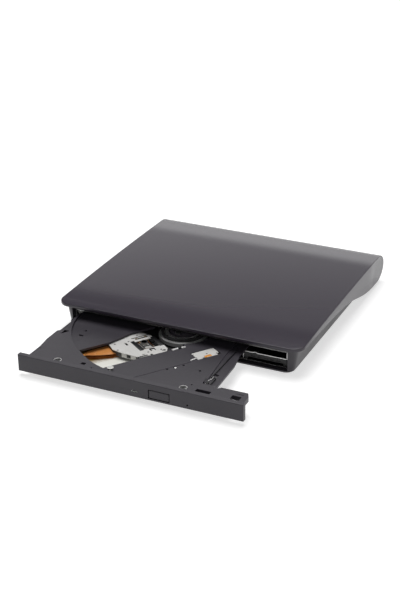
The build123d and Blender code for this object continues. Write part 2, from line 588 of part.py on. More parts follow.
def make_tray():
    tray = slab(tray_outline(), ARM_Z, TRAY_TOP)
    tray += slab(body_outline(0), TRAY_BOTTOM, TRAY_TOP - 1)
    tray -= slab(body_outline(TRAY_WALL), 0, TRAY_UNDER)
    tray -= drum(HUB_X, HUB_Y, WELL_Z, 30, WELL_RADIUS)
    tray -= window_cut()
    # Slot for the latch post through the back wall, and the ribbon's channel
    tray -= block(LATCH_X - 1.6, LATCH_X + 1.6, 0, 200, 0, PAN_TOP + 3.2)
    tray -= block(RIBBON_X0 - 1, RIBBON_X1 + 1, 0, 200, 0, PAN_TOP + 2.6)
    # The ledge beside the deck, with the slots round its spring catch
    edge = [(LEDGE_X, LEDGE_Y), (LEDGE_X - 3.3, TRAY_FRONT_Y + 46), (LEDGE_X - 3.3, 100), (100, 100),
            (100, LEDGE_Y)]
    ledge = slab(tray_outline(), LEDGE_BOTTOM, LEDGE_TOP)
    ledge &= block(TRAY_BODY_RIGHT - 0.5, 100, LEDGE_Y, TRAY_BACK_Y, 0, 30)
    tray = (tray - slab(edge, LEDGE_TOP, 30)) + ledge
    end_y = CATCH_Y + CATCH_LENGTH
    tray -= block(CATCH_X, CATCH_X + CATCH_WIDTH, CATCH_Y, CATCH_Y + 1.0, 0, 30)
    tray -= block(CATCH_X + CATCH_WIDTH - 0.8, CATCH_X + CATCH_WIDTH, CATCH_Y, end_y, 0, 30)
    tray -= block(CATCH_X + 0.2, CATCH_X + CATCH_WIDTH, end_y - 1.6, end_y, 0, 30)
    # Deck and well details
    tray -= sled_block(-4.4, 9.8, 25.4, 33.8, 0, 30)
    groove = sled_block(14, 70, 33.9, 34.4, WELL_Z - 0.15, 30)
    tray -= groove & drum(HUB_X, HUB_Y, 0, 30, WELL_RADIUS - 0.5)
    for x, y, radius in DECK_HOLES:
        tray -= drum(x, FRONT_Y + y, 0, 30, radius)
    tray -= block(ARM_X - 6.6, ARM_X - 3.0, ARM_BACK_Y - 3.4, ARM_BACK_Y - 2.9, TRAY_TOP - 0.25, 30)
    # Ribs under the floor, behind the mechanism
    for y in (HUB_Y + 26, HUB_Y + 42):
        tray += block(TRAY_BODY_LEFT + 0.5, TRAY_BODY_RIGHT - 0.5, y, y + 1.0, TRAY_UNDER - 2.4,
                      TRAY_UNDER + 0.1)
    for x in (-28, -4, 20):
        tray += block(x, x + 1.0, HUB_Y + 26, TRAY_BACK_Y - 0.5, TRAY_UNDER - 2.4, TRAY_UNDER + 0.1)
    tray -= Pos(-28.7, FRONT_Y + 7.1, 0) * extrude(RectangleRounded(2.6, 2.2, 0.4), 30)
    tray -= Pos(-47.5, FRONT_Y + 37.1, 0) * extrude(RectangleRounded(2.8, 1.5, 0.4), 30)
    for corners in DECK_MARKS:
        tray -= slab([(x, FRONT_Y + y) for x, y in corners], 0, 30)
    # Windows in the arm
    tray -= block(OVERHANG_X - 7.2, OVERHANG_X + 0.8, TRAY_FRONT_Y + 1.4, TRAY_FRONT_Y + 4.4, ARM_Z + 0.8, 30)
    tray -= block(ARM_X - 8.1, ARM_X - 3.1, TRAY_FRONT_Y + 1.3, TRAY_FRONT_Y + 5.7, 0, 30)
    # The front wall opens for the button's stem and the light pipe, and is notched for the release lever
    for x0, x1 in ((BUTTON_STEM_X - 1.4, BUTTON_STEM_X + 1.4), (LIGHT_X0, LIGHT_X1)):
        tray -= block(x0, x1, TRAY_FRONT_Y - 1, TRAY_FRONT_Y + TRAY_WALL + 0.5, 0, SWITCH_Z + 0.9)
    tray -= block(LEVER_X0 - 0.2, TRAY_BODY_RIGHT + 1, TRAY_FRONT_Y - 1, TRAY_FRONT_Y + 5.5, 0,
                  LEVER_Z1 + 0.3)
    tray += tongue(LEFT_WALL_X, 1, LEFT_GUIDE_Z1) + tongue(RIGHT_WALL_X, -1, RIGHT_GUIDE_Z1)
    for x, y in tray_screw_places():
        tray += drum(x, y, TRAY_BOTTOM, TRAY_UNDER + 0.2, 2.2)
        tray -= drum(x, y, TRAY_TOP - 0.9, 30, 2.3)
        tray -= drum(x, y, TRAY_BOTTOM - 1, 30, 0.9)
    # Posts that carry the dampers of the traverse plate
    for a, b in DAMPERS:
        x, y = sled(a, b)
        tray += drum(x, y, PLATE_Z + PLATE_SHEET + 0.9, TRAY_UNDER + 0.2, 2.4)
        tray += drum(x, y, PLATE_Z + 0.1, TRAY_UNDER + 0.2, 0.8)
    return tray


def tray_screw_places():
    return [(-42.8, TRAY_FRONT_Y + 2.3), (29.2, TRAY_FRONT_Y + 2.6)]


def make_tray_screws():
    screws = []
    for x, y in tray_screw_places():
        head = drum(x, y, TRAY_TOP - 0.9, TRAY_TOP - 0.15, 2.05)
        head -= drum(x, y, TRAY_TOP - 0.45, TRAY_TOP, 1.2)
        head -= Pos(x, y, TRAY_TOP - 0.5) * (Box(1.6, 0.4, 0.4) + Box(0.4, 1.6, 0.4))
        screws.append(head + drum(x, y, TRAY_BOTTOM + 1, TRAY_TOP - 0.8, 0.85))
    return screws


# The guide rods and the lead screw: radius, place across the sled, and ends along it
ROD_RADIUS = 1.0
ROD_LEFT_B = -18.0
ROD_LEFT_START = 3.6
ROD_LEFT_END = 69.8
ROD_RIGHT_B = 20.5
ROD_RIGHT_START = -2.0
ROD_RIGHT_END = sled_end(ROD_RIGHT_B, TRAY_FRONT_Y + 4.24)
SCREW_B = 28.0
SCREW_START = 9.6
SCREW_END = sled_end(SCREW_B, TRAY_FRONT_Y + 3.0)
SCREW_RADIUS = 0.75
THREAD_RADIUS = 0.92
THREAD_STEP = 2.8
MOTOR_RADIUS = 2.5
MOTOR_COVER_Z = WELL_Z - 0.3

DAMPERS = [(-21, 3), (sled_end(33, TRAY_FRONT_Y + 15.55), 33), (68, -13.0)]
DAMPER_RADIUS = 2.4


def make_bottom_cover():
    """The bright steel plate under the mechanism."""
    left = TRAY_BODY_LEFT
    right = LATCH_X - 2.2
    front = TRAY_FRONT_Y + 0.3
    step_y = HUB_Y - 19
    outline = [(left, front), (left, step_y), (RIBBON_X1 + 2, step_y), (RIBBON_X1 + 2, HUB_Y + 26),
               (right, HUB_Y + 26), (right, front)]
    plate = slab(outline, BOTTOM_COVER_Z, BOTTOM_COVER_Z + 0.4)
    plate += block(left, left + 0.4, front, step_y, BOTTOM_COVER_Z, TRAY_BOTTOM)
    plate += block(left, right, front, front + 0.4, BOTTOM_COVER_Z, TRAY_BOTTOM)
    plate -= drum(HUB_X, HUB_Y, BOTTOM_COVER_Z + 0.25, 20, 15)
    return plate


def make_traverse_plate():
    """The plate that carries motor, rods and screw, open where the pickup runs."""
    ear = DAMPERS[1][0]
    corners = [(-25, -10), (-25, 14), (-6, 33.5), (ear - 12, 33.5), (ear - 5, 37), (ear + 6, 37),
               (SCREW_END + 1.5, 33.5), (74, 24), (74, -22), (4, -22)]
    outer = sled_slab(corners, PLATE_Z, PLATE_Z + PLATE_SHEET)
    inside = slab([(TRAY_BODY_LEFT + 1.6, TRAY_FRONT_Y + 1.6), (TRAY_BODY_LEFT + 1.6, 60), (LATCH_X - 3, 60),
                   (LATCH_X - 3, TRAY_FRONT_Y + 1.6)], 0, 20)
    plate = outer & inside
    plate -= sled_block(16, 64, -15.5, 17.5, 0, 20) + sled_block(60, 80, -9.2, 17.5, 0, 20)
    plate -= sled_block(-5.2, 8.8, 24.6, 31.4, 0, 20)
    plate -= drum(HUB_X, HUB_Y, 0, 20, 2.2)
    plate -= block(LIGHT_X0 - 3, 60, -100, TRAY_FRONT_Y + 7.2, 0, 20)
    plate -= block(SOLENOID_X0 - 0.5, 60, -100, SOLENOID_Y + 3.2, 0, 20)
    for x, y in tray_screw_places():
        plate -= drum(x, y, 0, 20, 3.0)
    for a, b in DAMPERS:
        x, y = sled(a, b)
        plate += drum(x, y, PLATE_Z, PLATE_Z + PLATE_SHEET, 3.4)
        plate -= drum(x, y, 0, 20, 1.5)
    # Seats for both guide rods and the outer end of the lead screw
    seats = [(ROD_LEFT_START - 0.2, 3.0, ROD_LEFT_B), (ROD_LEFT_END - 2.8, 3.0, ROD_LEFT_B),
             (ROD_RIGHT_START - 1.0, 3.0, ROD_RIGHT_B), (ROD_RIGHT_END - 1.3, 2.0, ROD_RIGHT_B),
             (SCREW_END - 1.4, 2.0, SCREW_B)]
    for a0, length, b in seats:
        plate += sled_block(a0, a0 + length, b - 1.9, b + 1.9, PLATE_Z, ROD_Z + 1.3)
    rods = [(ROD_LEFT_START - 0.1, ROD_LEFT_END + 0.1, ROD_LEFT_B),
            (ROD_RIGHT_START - 0.1, ROD_RIGHT_END + 0.1, ROD_RIGHT_B),
            (SCREW_START + 10, SCREW_END + 0.1, SCREW_B)]
    for a0, a1, b in rods:
        plate -= sled_rod(a0, a1, b, ROD_Z, ROD_RADIUS + 0.02)
    return plate




def make_dampers():
    rubbers = []
    for a, b in DAMPERS:
        x, y = sled(a, b)
        ring = drum(x, y, PLATE_Z - 0.3, PLATE_Z, DAMPER_RADIUS)
        ring += drum(x, y, PLATE_Z, PLATE_Z + PLATE_SHEET, 1.45)
        ring += drum(x, y, PLATE_Z + PLATE_SHEET, PLATE_Z + PLATE_SHEET + 0.85, DAMPER_RADIUS)
        rubbers.append(ring - drum(x, y, 0, 20, 0.85))
    return rubbers


# Spindle

ROTOR_RADIUS = 13.5
ROTOR_TOP = DRIVE_Z + 5.9
HUB_RADIUS = 7.45
HUB_TOP = DISC_Z + 1.55
CLAW_SLOT_Z = DISC_Z + 0.5
HUB_SEAT_Z = DISC_Z - 0.8


def make_spindle_base():
    base = drum(HUB_X, HUB_Y, PLATE_Z + PLATE_SHEET, PLATE_Z + PLATE_SHEET + 0.5, 12.0)
    base += drum(HUB_X, HUB_Y, PLATE_Z + PLATE_SHEET, ROTOR_TOP - 0.9, 3.0)
    for k in range(9):
        pole = Pos(6.6, 0, 0) * Box(7.4, 1.6, 0.9) + Pos(10.6, 0, 0) * Box(1.2, 4.4, 0.9)
        base += Pos(HUB_X, HUB_Y, PLATE_Z + PLATE_SHEET + 0.9) * Rot(0, 0, 40 * k) * pole
    return base - drum(HUB_X, HUB_Y, 0, 20, 1.05)


def revolve_ring(points):
    """A turned piece about the spindle, from radius and height points."""
    face = make_face(Polyline(*[(r, z) for r, z in points], close=True))
    return Pos(HUB_X, HUB_Y, 0) * revolve(Plane.XZ * face, Axis.Z)


def make_turntable():
    z0 = PLATE_Z + PLATE_SHEET + 0.3
    top = ROTOR_TOP
    wall_in = ROTOR_RADIUS - 0.9
    cup = [(0, top - 0.5), (wall_in, top - 0.5), (wall_in, z0 + 0.5), (ROTOR_RADIUS, z0 + 0.5),
           (ROTOR_RADIUS, top - 0.4), (ROTOR_RADIUS - 0.4, top), (12.2, top), (12.0, top - 0.2),
           (10.7, top - 0.2), (10.4, HUB_SEAT_Z + 0.2), (9.2, HUB_SEAT_Z + 0.4), (8.6, HUB_SEAT_Z),
           (0, HUB_SEAT_Z)]
    return revolve_ring(cup) + drum(HUB_X, HUB_Y, PLATE_Z + 0.2, top, 1.0)


def make_hub_cone():
    """The hub that centres the disc, with three slots for the claws."""
    cone = revolve_ring([(0, HUB_SEAT_Z), (8.0, HUB_SEAT_Z), (8.0, DISC_Z - 0.3), (HUB_RADIUS, DISC_Z - 0.3),
                         (HUB_RADIUS, DISC_Z + 0.9), (HUB_RADIUS - 0.9, HUB_TOP), (3.6, HUB_TOP),
                         (3.3, HUB_TOP - 0.4), (2.4, HUB_TOP - 0.4), (2.2, HUB_TOP - 1.0),
                         (0, HUB_TOP - 1.0)])
    for k in range(3):
        slot = Pos(HUB_RADIUS - 1.2, 0, CLAW_SLOT_Z + 1.0) * Box(4.2, 3.4, 2.0)
        cone -= Pos(HUB_X, HUB_Y, 0) * Rot(0, 0, 120 * k + 30) * slot
    return cone


def make_disc_clamp():
    claws = []
    for k in range(3):
        claw = Pos(HUB_RADIUS - 1.6, 0, CLAW_SLOT_Z + 0.42) * Box(3.3, 2.8, 0.84)
        claw = chamfer(claw.edges().filter_by(Axis.Y).group_by(Axis.Z)[-1].group_by(Axis.X)[-1], 0.5)
        claws.append(Pos(HUB_X, HUB_Y, 0) * Rot(0, 0, 120 * k + 30) * claw)
    return claws


def make_turntable_ring():
    low = ROTOR_TOP - 0.2
    return revolve_ring([(10.75, low), (12.0, low), (12.0, DISC_Z - 0.25), (11.8, DISC_Z), (10.9, DISC_Z),
                         (10.7, DISC_Z - 0.2)])


# Pickup

COVER_SHEET = 0.3
RIBBON_RIGHT_B = 0.4
PICKUP_RIBBON_WIDTH = 10.2
# The pickup passes under the tray's floor, and only the lens and its holder stand higher
PICKUP_TOP = TRAY_UNDER - 0.2
LENS_TOP = WELL_Z - 0.5
PICKUP_BOTTOM = PLATE_Z + PLATE_SHEET + 0.2
ACTUATOR_FLOOR = PICKUP_BOTTOM + 1.2
RIBBON_SLOT_Z = PICKUP_BOTTOM + 1.2


def pickup_outline():
    a = LENS_RADIUS_NOW
    return [(a - 8, -3.0), (a - 5, -11.0), (a - 1, -13.2), (a + 8, -11.6), (a + 17.1, -8.7), (a + 18.0, -1.5),
            (a + 15.5, 4.5), (a + 11.0, 11.7), (a + 10.0, 14.0), (a + 5.7, 14.2), (a - 5.6, 15.2),
            (a - 7.8, 12), (a - 8.4, 1)]


def actuator_well():
    a = LENS_RADIUS_NOW
    return sled_block(a - 6.4, a + 5.6, -3.2, 6.9, ACTUATOR_FLOOR, 30)


def laser_block_outline(grow):
    a = LENS_RADIUS_NOW
    return [(a + 15.6 + grow, 4.4 - grow), (a + 11.0 + grow, 11.8 + grow), (a + 8.8 - grow, 10.4 + grow),
            (a + 13.2 - grow, 3.0 - grow)]


def make_pickup_carriage():
    a = LENS_RADIUS_NOW
    body = sled_slab(pickup_outline(), PICKUP_BOTTOM, PICKUP_TOP - COVER_SHEET)
    body -= drum(HUB_X, HUB_Y, 0, 30, ROTOR_RADIUS + 0.5)
    body += sled_block(a - 5, a + 9, ROD_LEFT_B - 2.2, -12.9, PICKUP_BOTTOM, PICKUP_TOP)
    body += sled_block(a - 4.6, a + 7, -13.1, -10, PICKUP_BOTTOM, PICKUP_TOP - COVER_SHEET)
    body += sled_block(a - 7.4, a + 1, 14.0, ROD_RIGHT_B + 2.2, PICKUP_BOTTOM, PICKUP_TOP - COVER_SHEET)
    body -= sled_rod(a - 40, a + 40, ROD_LEFT_B, ROD_Z, ROD_RADIUS + 0.05)
    body -= sled_rod(a - 40, a + 40, ROD_RIGHT_B, ROD_Z, ROD_RADIUS + 0.05)
    # The open well of the lens actuator, the channel below that takes the ribbon, and the laser's seat
    body -= actuator_well()
    body -= sled_block(a - 2, a + 20, RIBBON_RIGHT_B - PICKUP_RIBBON_WIDTH - 0.3, RIBBON_RIGHT_B + 0.3, 0,
                       RIBBON_SLOT_Z)
    body -= sled_slab(laser_block_outline(0.05), PICKUP_BOTTOM + 0.3, 30)
    # Ribs on the outer end, and a slot for the folding mirror
    for b in (-6.5, -3.5):
        body -= sled_block(a + 16.6, a + 20, b, b + 1.6, RIBBON_SLOT_Z + 0.4, 30)
    body -= sled_block(a + 8.0, a + 9.2, -4.0, 3.0, ACTUATOR_FLOOR, 30)
    return body


# Openings in the pickup's cover: place along from the lens and across, then length and width
COVER_OPENINGS = [(-1.6, 9.2, 0.7, 2.4), (0.8, 9.2, 0.7, 2.4), (-0.4, 8.4, 2.4, 0.6),
                  (6.4, 11.8, 1.4, 0.8), (11.6, 6.0, 0.8, 0.8), (9.0, -3.2, 1.2, 3.0),
                  (-4.6, 12.6, 0.9, 0.9), (14.4, -6.4, 1.0, 1.0)]


def make_pickup_cover():
    a = LENS_RADIUS_NOW
    cover = sled_slab(pickup_outline(), PICKUP_TOP - COVER_SHEET, PICKUP_TOP)
    cover -= drum(HUB_X, HUB_Y, 0, 30, ROTOR_RADIUS + 0.8)
    cover -= sled_block(a - 5, a + 9, ROD_LEFT_B - 2.2, -12.8, 0, 30)
    cover -= actuator_well()
    cover -= sled_slab(laser_block_outline(0.1), 0, 30)
    # Small openings over the adjusting points
    for da, b, la, lb in COVER_OPENINGS:
        cover -= sled_block(a + da - la / 2, a + da + la / 2, b - lb / 2, b + lb / 2, 0, 30)
    # A notch and a bent tab on the right side
    cover -= sled_block(a + 2.0, a + 3.4, 13.2, 18, 0, 30)
    tab = sled_block(a - 3.0, a + 0.4, 14.4, 15.6, PICKUP_TOP - COVER_SHEET, PICKUP_TOP)
    return cover + tab


def make_laser_block():
    """The light metal holder of the laser at the pickup's outer end, with its square window."""
    a = LENS_RADIUS_NOW
    holder = sled_slab(laser_block_outline(0.0), PICKUP_BOTTOM + 0.3, PICKUP_TOP)
    x, y = sled(a + 13.3, 8.1)
    facing = math.radians(SLED_ANGLE) + math.atan2(4.6, 7.4)
    window = Pos(x, y, PICKUP_BOTTOM + 1.7) * Rot(0, 0, math.degrees(facing)) * Box(1.4, 1.5, 1.3)
    return holder - window


def make_lens_magnets():
    """The two yoke plates with their magnets, at the ends of the actuator's well."""
    a = LENS_RADIUS_NOW
    plates = []
    for da0, da1 in ((-5.3, -4.1), (3.3, 4.5)):
        plate = sled_block(a + da0, a + da1, -2.2, 5.9, ACTUATOR_FLOOR, PICKUP_TOP)
        plate -= sled_block(a + da0 - 1, a + da1 + 1, 1.2, 2.5, PICKUP_TOP - 0.7, 30)
        plates.append(plate)
    return plates


def make_lens_holder():
    a = LENS_RADIUS_NOW
    z0 = ACTUATOR_FLOOR + 0.5
    z1 = PICKUP_TOP - 0.1
    holder = sled_block(a - 2.9, a + 2.7, -2.0, 5.6, z0, z1 - 0.5)
    holder = chamfer(holder.edges().filter_by(Axis.Z), 0.6)
    holder += sled_block(a - 3.7, a + 3.0, 3.4, 4.8, z0 + 0.1, z1 - 0.7)
    x, y = sled(a, 0)
    holder += drum(x, y, z1 - 0.6, LENS_TOP - 0.1, 1.95)
    return holder - drum(x, y, 0, 30, 1.55)


def make_lens():
    x, y = sled(LENS_RADIUS_NOW, 0)
    lens = drum(x, y, ACTUATOR_FLOOR + 0.6, LENS_TOP - 0.45, 1.5)
    dome = Pos(x, y, LENS_TOP - 2.3) * Sphere(2.05)
    return lens + (dome & drum(x, y, LENS_TOP - 0.8, LENS_TOP, 1.3))


def make_screw_follower():
    a = LENS_RADIUS_NOW
    arm = sled_block(a - 9.5, a - 3.5, ROD_RIGHT_B + 2.2, SCREW_B - 1.15, PICKUP_BOTTOM, ROD_Z + 1.0)
    teeth = sled_block(a - 9.5, a - 3.5, SCREW_B - 1.6, SCREW_B - 1.0, ROD_Z - 0.7, ROD_Z + 0.7)
    return arm + teeth


def make_lead_screw():
    screw = sled_rod(SCREW_START, SCREW_END, SCREW_B, ROD_Z, SCREW_RADIUS)
    for k in range(int((SCREW_END - SCREW_START - 4.0) / THREAD_STEP)):
        a = SCREW_START + 2.4 + THREAD_STEP * k
        screw += sled_rod(a, a + 1.2, SCREW_B, ROD_Z, THREAD_RADIUS)
    return screw


def make_stepper_motor():
    motor = sled_rod(-3.8, 8.6, SCREW_B, ROD_Z, MOTOR_RADIUS)
    motor &= block(-200, 200, -200, 200, PLATE_Z - 0.2, 30)
    bracket = sled_block(8.6, 9.4, SCREW_B - 2.4, SCREW_B + 3.1, PLATE_Z + PLATE_SHEET, MOTOR_COVER_Z)
    foot = sled_block(8.6, 12.4, SCREW_B - 5.4, SCREW_B + 3.1, PLATE_Z + PLATE_SHEET,
                      PLATE_Z + PLATE_SHEET + 0.3)
    # The flat top plate that shows in the tray's window, notched at its corners
    top = sled_block(-4.0, 9.4, SCREW_B - 2.4, SCREW_B + 5.4, MOTOR_COVER_Z - 0.3, MOTOR_COVER_Z)
    top -= sled_block(-5, -2.6, SCREW_B + 3.4, SCREW_B + 6, 0, 30)
    top -= sled_block(4.0, 6.6, SCREW_B + 4.4, SCREW_B + 6, 0, 30)
    top -= sled_block(0.6, 1.4, SCREW_B - 1.6, SCREW_B + 1.2, MOTOR_COVER_Z - 0.15, 30)
    skirt = sled_block(-2.6, 3.0, SCREW_B + 5.1, SCREW_B + 5.4, TRAY_UNDER, MOTOR_COVER_Z)
    whole = motor + bracket + foot + top + skirt
    return whole - sled_rod(9.5, 60, SCREW_B, ROD_Z, 1.1) - sled_rod(8.8, 60, SCREW_B, ROD_Z, 0.8)


def make_pickup_ribbon():
    """The pickup's ribbon: it leaves the carriage, folds over and runs back below."""
    end_a = LENS_RADIUS_NOW + 18
    turn = math.radians(SLED_ANGLE)
    along = (math.cos(turn), math.sin(turn), 0)
    across = (math.sin(turn), -math.cos(turn), 0)
    origin = sled(0, RIBBON_RIGHT_B)
    plane = Plane(origin=(origin[0], origin[1], 0), x_dir=along, z_dir=across)
    whole = folded_ribbon(plane, end_a - 9, end_a - 3, end_a + 14.6, BOTTOM_COVER_Z + 0.45,
                          RIBBON_SLOT_Z - 0.1,
                          PICKUP_RIBBON_WIDTH)
    # It narrows towards the fold
    right = RIBBON_RIGHT_B
    left = right - PICKUP_RIBBON_WIDTH
    plan = [(end_a - 12, right), (end_a + 1.4, right), (end_a + 9, -2.6), (end_a + 13.5, -5.4),
            (end_a + 17, -5.6),
            (end_a + 17, -8.6), (end_a + 6, -9.4), (end_a + 1.0, left), (end_a - 12, left)]
    return whole & sled_slab(plan, 0, 20)


# Front pieces

BUTTON_X0 = 12.6
BUTTON_X1 = 23.8
BUTTON_STEM_X = (BUTTON_X0 + BUTTON_X1) / 2
BUTTON_Z0 = DRIVE_Z + 1.5
BUTTON_Z1 = BUTTON_Z0 + 4.3
BUTTON_GAP = 0.4
BUTTON_FLANGE = 0.65
PINHOLE_X = TRAY_BODY_RIGHT - 1.2
PINHOLE_Z = DRIVE_Z + 2.2
LIGHT_X0 = 2.5
LIGHT_X1 = 6.3
LIGHT_Z = DRIVE_Z + 3.3


def make_bezel():
    bezel = block(-DRIVE_HALF, DRIVE_HALF, FRONT_Y, TRAY_FRONT_Y, DRIVE_Z, DRIVE_TOP)
    front = bezel.faces().sort_by(Axis.Y)[0]
    bezel = fillet(front.edges(), 0.5)
    inner = block(-DRIVE_HALF + 1.4, DRIVE_HALF - 1.4, FRONT_Y + 1.5, TRAY_FRONT_Y + 1, DRIVE_Z + 0.8,
                  DRIVE_TOP - 2.2)
    bezel -= inner
    for x in (-DRIVE_HALF + 14, -DRIVE_HALF + 39, DRIVE_HALF - 34, DRIVE_HALF - 9):
        bezel += block(x, x + 1, FRONT_Y + 1.0, TRAY_FRONT_Y, DRIVE_Z + 1, DRIVE_TOP - 2)
    gap = BUTTON_GAP
    bezel -= block(BUTTON_X0 - gap, BUTTON_X1 + gap, FRONT_Y - 1, FRONT_Y + 2, BUTTON_Z0 - gap,
                   BUTTON_Z1 + gap)
    bezel -= Pos(PINHOLE_X, FRONT_Y, PINHOLE_Z) * Rot(90, 0, 0) * Cylinder(0.55, 6)
    bezel -= block(LIGHT_X0, LIGHT_X1, FRONT_Y - 1, FRONT_Y + 2, LIGHT_Z - 0.4, LIGHT_Z + 0.4)
    return bezel


def make_eject_button():
    cap = block(BUTTON_X0, BUTTON_X1, FRONT_Y + 0.1, FRONT_Y + 1.7, BUTTON_Z0, BUTTON_Z1)
    front = cap.faces().sort_by(Axis.Y)[0]
    cap = fillet(front.edges(), 0.25)
    edge = BUTTON_FLANGE
    flange = block(BUTTON_X0 - edge, BUTTON_X1 + edge, FRONT_Y + 1.55, FRONT_Y + 1.95, BUTTON_Z0 - edge,
                   BUTTON_Z1 + edge)
    stem = block(BUTTON_STEM_X - 1, BUTTON_STEM_X + 1, FRONT_Y + 1.9, SWITCH_Y - 0.65, SWITCH_Z - 0.6,
                 SWITCH_Z + 0.6)
    return cap + flange + stem


SWITCH_Y = TRAY_FRONT_Y + 3.0
TRAY_BOARD_Z = TRAY_BOTTOM + 0.4
SWITCH_Z = TRAY_BOARD_Z + 0.8 + 1.0


def make_tact_switch():
    x = BUTTON_STEM_X
    body = block(x - 2.2, x + 2.2, SWITCH_Y, SWITCH_Y + 1.6, SWITCH_Z - 1.0, SWITCH_Z + 1.0)
    return body - Pos(x, SWITCH_Y, SWITCH_Z) * Rot(90, 0, 0) * Cylinder(0.75, 2.3)


def make_switch_plunger():
    x = BUTTON_STEM_X
    return Pos(x, SWITCH_Y - 0.05, SWITCH_Z) * Rot(90, 0, 0) * Cylinder(0.65, 1.1)


def make_tray_board():
    board = block(LIGHT_X0 - 2, BUTTON_X1 + 2.0, TRAY_FRONT_Y + 1.4, TRAY_FRONT_Y + 6.5, TRAY_BOARD_Z,
                  TRAY_BOARD_Z + 0.8)
    led = block(LIGHT_X0 + 0.9, LIGHT_X1 - 0.9, TRAY_FRONT_Y + 2.4, TRAY_FRONT_Y + 3.8,
                TRAY_BOARD_Z + 0.8, TRAY_BOARD_Z + 1.7)
    return board + led


def make_light_pipe():
    pipe = block(LIGHT_X0 + 0.05, LIGHT_X1 - 0.05, FRONT_Y + 0.1, FRONT_Y + 2.4, LIGHT_Z - 0.35,
                 LIGHT_Z + 0.35)
    return pipe + block(LIGHT_X0 + 0.6, LIGHT_X1 - 0.6, FRONT_Y + 1.6, TRAY_FRONT_Y + 2.2, LIGHT_Z - 0.25,
                        LIGHT_Z + 0.9)


# Latch

HOOK_PIVOT_X = LATCH_X - 5.2
HOOK_PIVOT_Y = LATCH_Y + 11.0
HOOK_Z = PAN_TOP + 1.4
HOOK = 1.0


def make_latch_hook():
    nose_y = LATCH_Y + LATCH_POST_RADIUS + 0.1
    outline = [(HOOK_PIVOT_X - 1.4, HOOK_PIVOT_Y + 1), (HOOK_PIVOT_X - 1.6, HOOK_PIVOT_Y - 3),
               (LATCH_X - 4.6, nose_y - 1.4),
               (LATCH_X - 2.4, nose_y), (LATCH_X + 0.9, nose_y), (LATCH_X + 0.9, nose_y + 1.0),
               (LATCH_X - 2.2, nose_y + 1.4), (HOOK_PIVOT_X + 1.4, HOOK_PIVOT_Y)]
    hook = slab(outline, HOOK_Z, HOOK_Z + HOOK)
    hook += drum(HOOK_PIVOT_X, HOOK_PIVOT_Y, HOOK_Z, HOOK_Z + 1.8, 2.0)
    hook += slab([(HOOK_PIVOT_X - 1, HOOK_PIVOT_Y - 1), (HOOK_PIVOT_X - 7, HOOK_PIVOT_Y - 0.4),
                  (HOOK_PIVOT_X - 7, HOOK_PIVOT_Y + 1), (HOOK_PIVOT_X - 1,
                                                         HOOK_PIVOT_Y + 1)], HOOK_Z, HOOK_Z + HOOK)
    return hook - drum(HOOK_PIVOT_X, HOOK_PIVOT_Y, 0, 20, 0.95)


def make_latch_pin():
    """The pin under the tray floor that the hook turns on."""
    return drum(HOOK_PIVOT_X, HOOK_PIVOT_Y, HOOK_Z - 0.2, TRAY_UNDER, 0.88)


SOLENOID_X0 = HOOK_PIVOT_X - 12.5
SOLENOID_X1 = HOOK_PIVOT_X - 4.6
SOLENOID_Y = LATCH_Y + 1.0
SOLENOID_Z = HOOK_Z + 1.4


def make_solenoid():
    body = block(SOLENOID_X0, SOLENOID_X1, SOLENOID_Y - 2.7, SOLENOID_Y + 2.7, HOOK_Z - 0.3, TRAY_UNDER)
    body -= block(SOLENOID_X0 + 0.8, SOLENOID_X1 - 0.8, SOLENOID_Y - 4, SOLENOID_Y + 4, HOOK_Z + 0.3,
                  TRAY_UNDER - 0.6)
    coil = Pos((SOLENOID_X0 + SOLENOID_X1) / 2, SOLENOID_Y, SOLENOID_Z) * Rot(0, 90, 0) * Cylinder(
        1.35, SOLENOID_X1 - SOLENOID_X0 - 1.4)
    bore = Pos(SOLENOID_X1, SOLENOID_Y, SOLENOID_Z) * Rot(0, 90, 0) * Cylinder(0.75, 12)
    return body + coil - bore


def make_solenoid_plunger():
    tip = LATCH_X - 5.7
    back = SOLENOID_X1 - 3.0
    rod = Pos((tip + back) / 2, SOLENOID_Y, SOLENOID_Z) * Rot(0, 90, 0) * Cylinder(0.68, tip - back)
    return rod + block(tip - 0.4, tip, SOLENOID_Y - 1.0, SOLENOID_Y + 1.0, HOOK_Z, SOLENOID_Z + 0.6)


LEVER_X0 = TRAY_BODY_RIGHT - TRAY_WALL - 1.3
LEVER_X1 = LEVER_X0 + 1.1
LEVER_Z0 = PAN_TOP + 1.1
LEVER_Z1 = PINHOLE_Z + 0.7


def make_emergency_lever():
    """The slide behind the pinhole that frees the hook by hand."""
    lever = block(LEVER_X0, LEVER_X1, TRAY_FRONT_Y + 0.4, LATCH_Y - 2.6, LEVER_Z0, LEVER_Z1)
    lever += block(LEVER_X0, PINHOLE_X + 0.8, TRAY_FRONT_Y + 0.3, TRAY_FRONT_Y + 1.8, LEVER_Z0, LEVER_Z1)
    nose = LEVER_X0 - 0.9
    root = LEVER_X0 + 0.2
    back = LATCH_Y - 2.6
    ramp = slab([(root, back - 1.6), (nose, back - 0.8), (nose, back), (root, back)], LEVER_Z0, LEVER_Z1)
    return lever + ramp


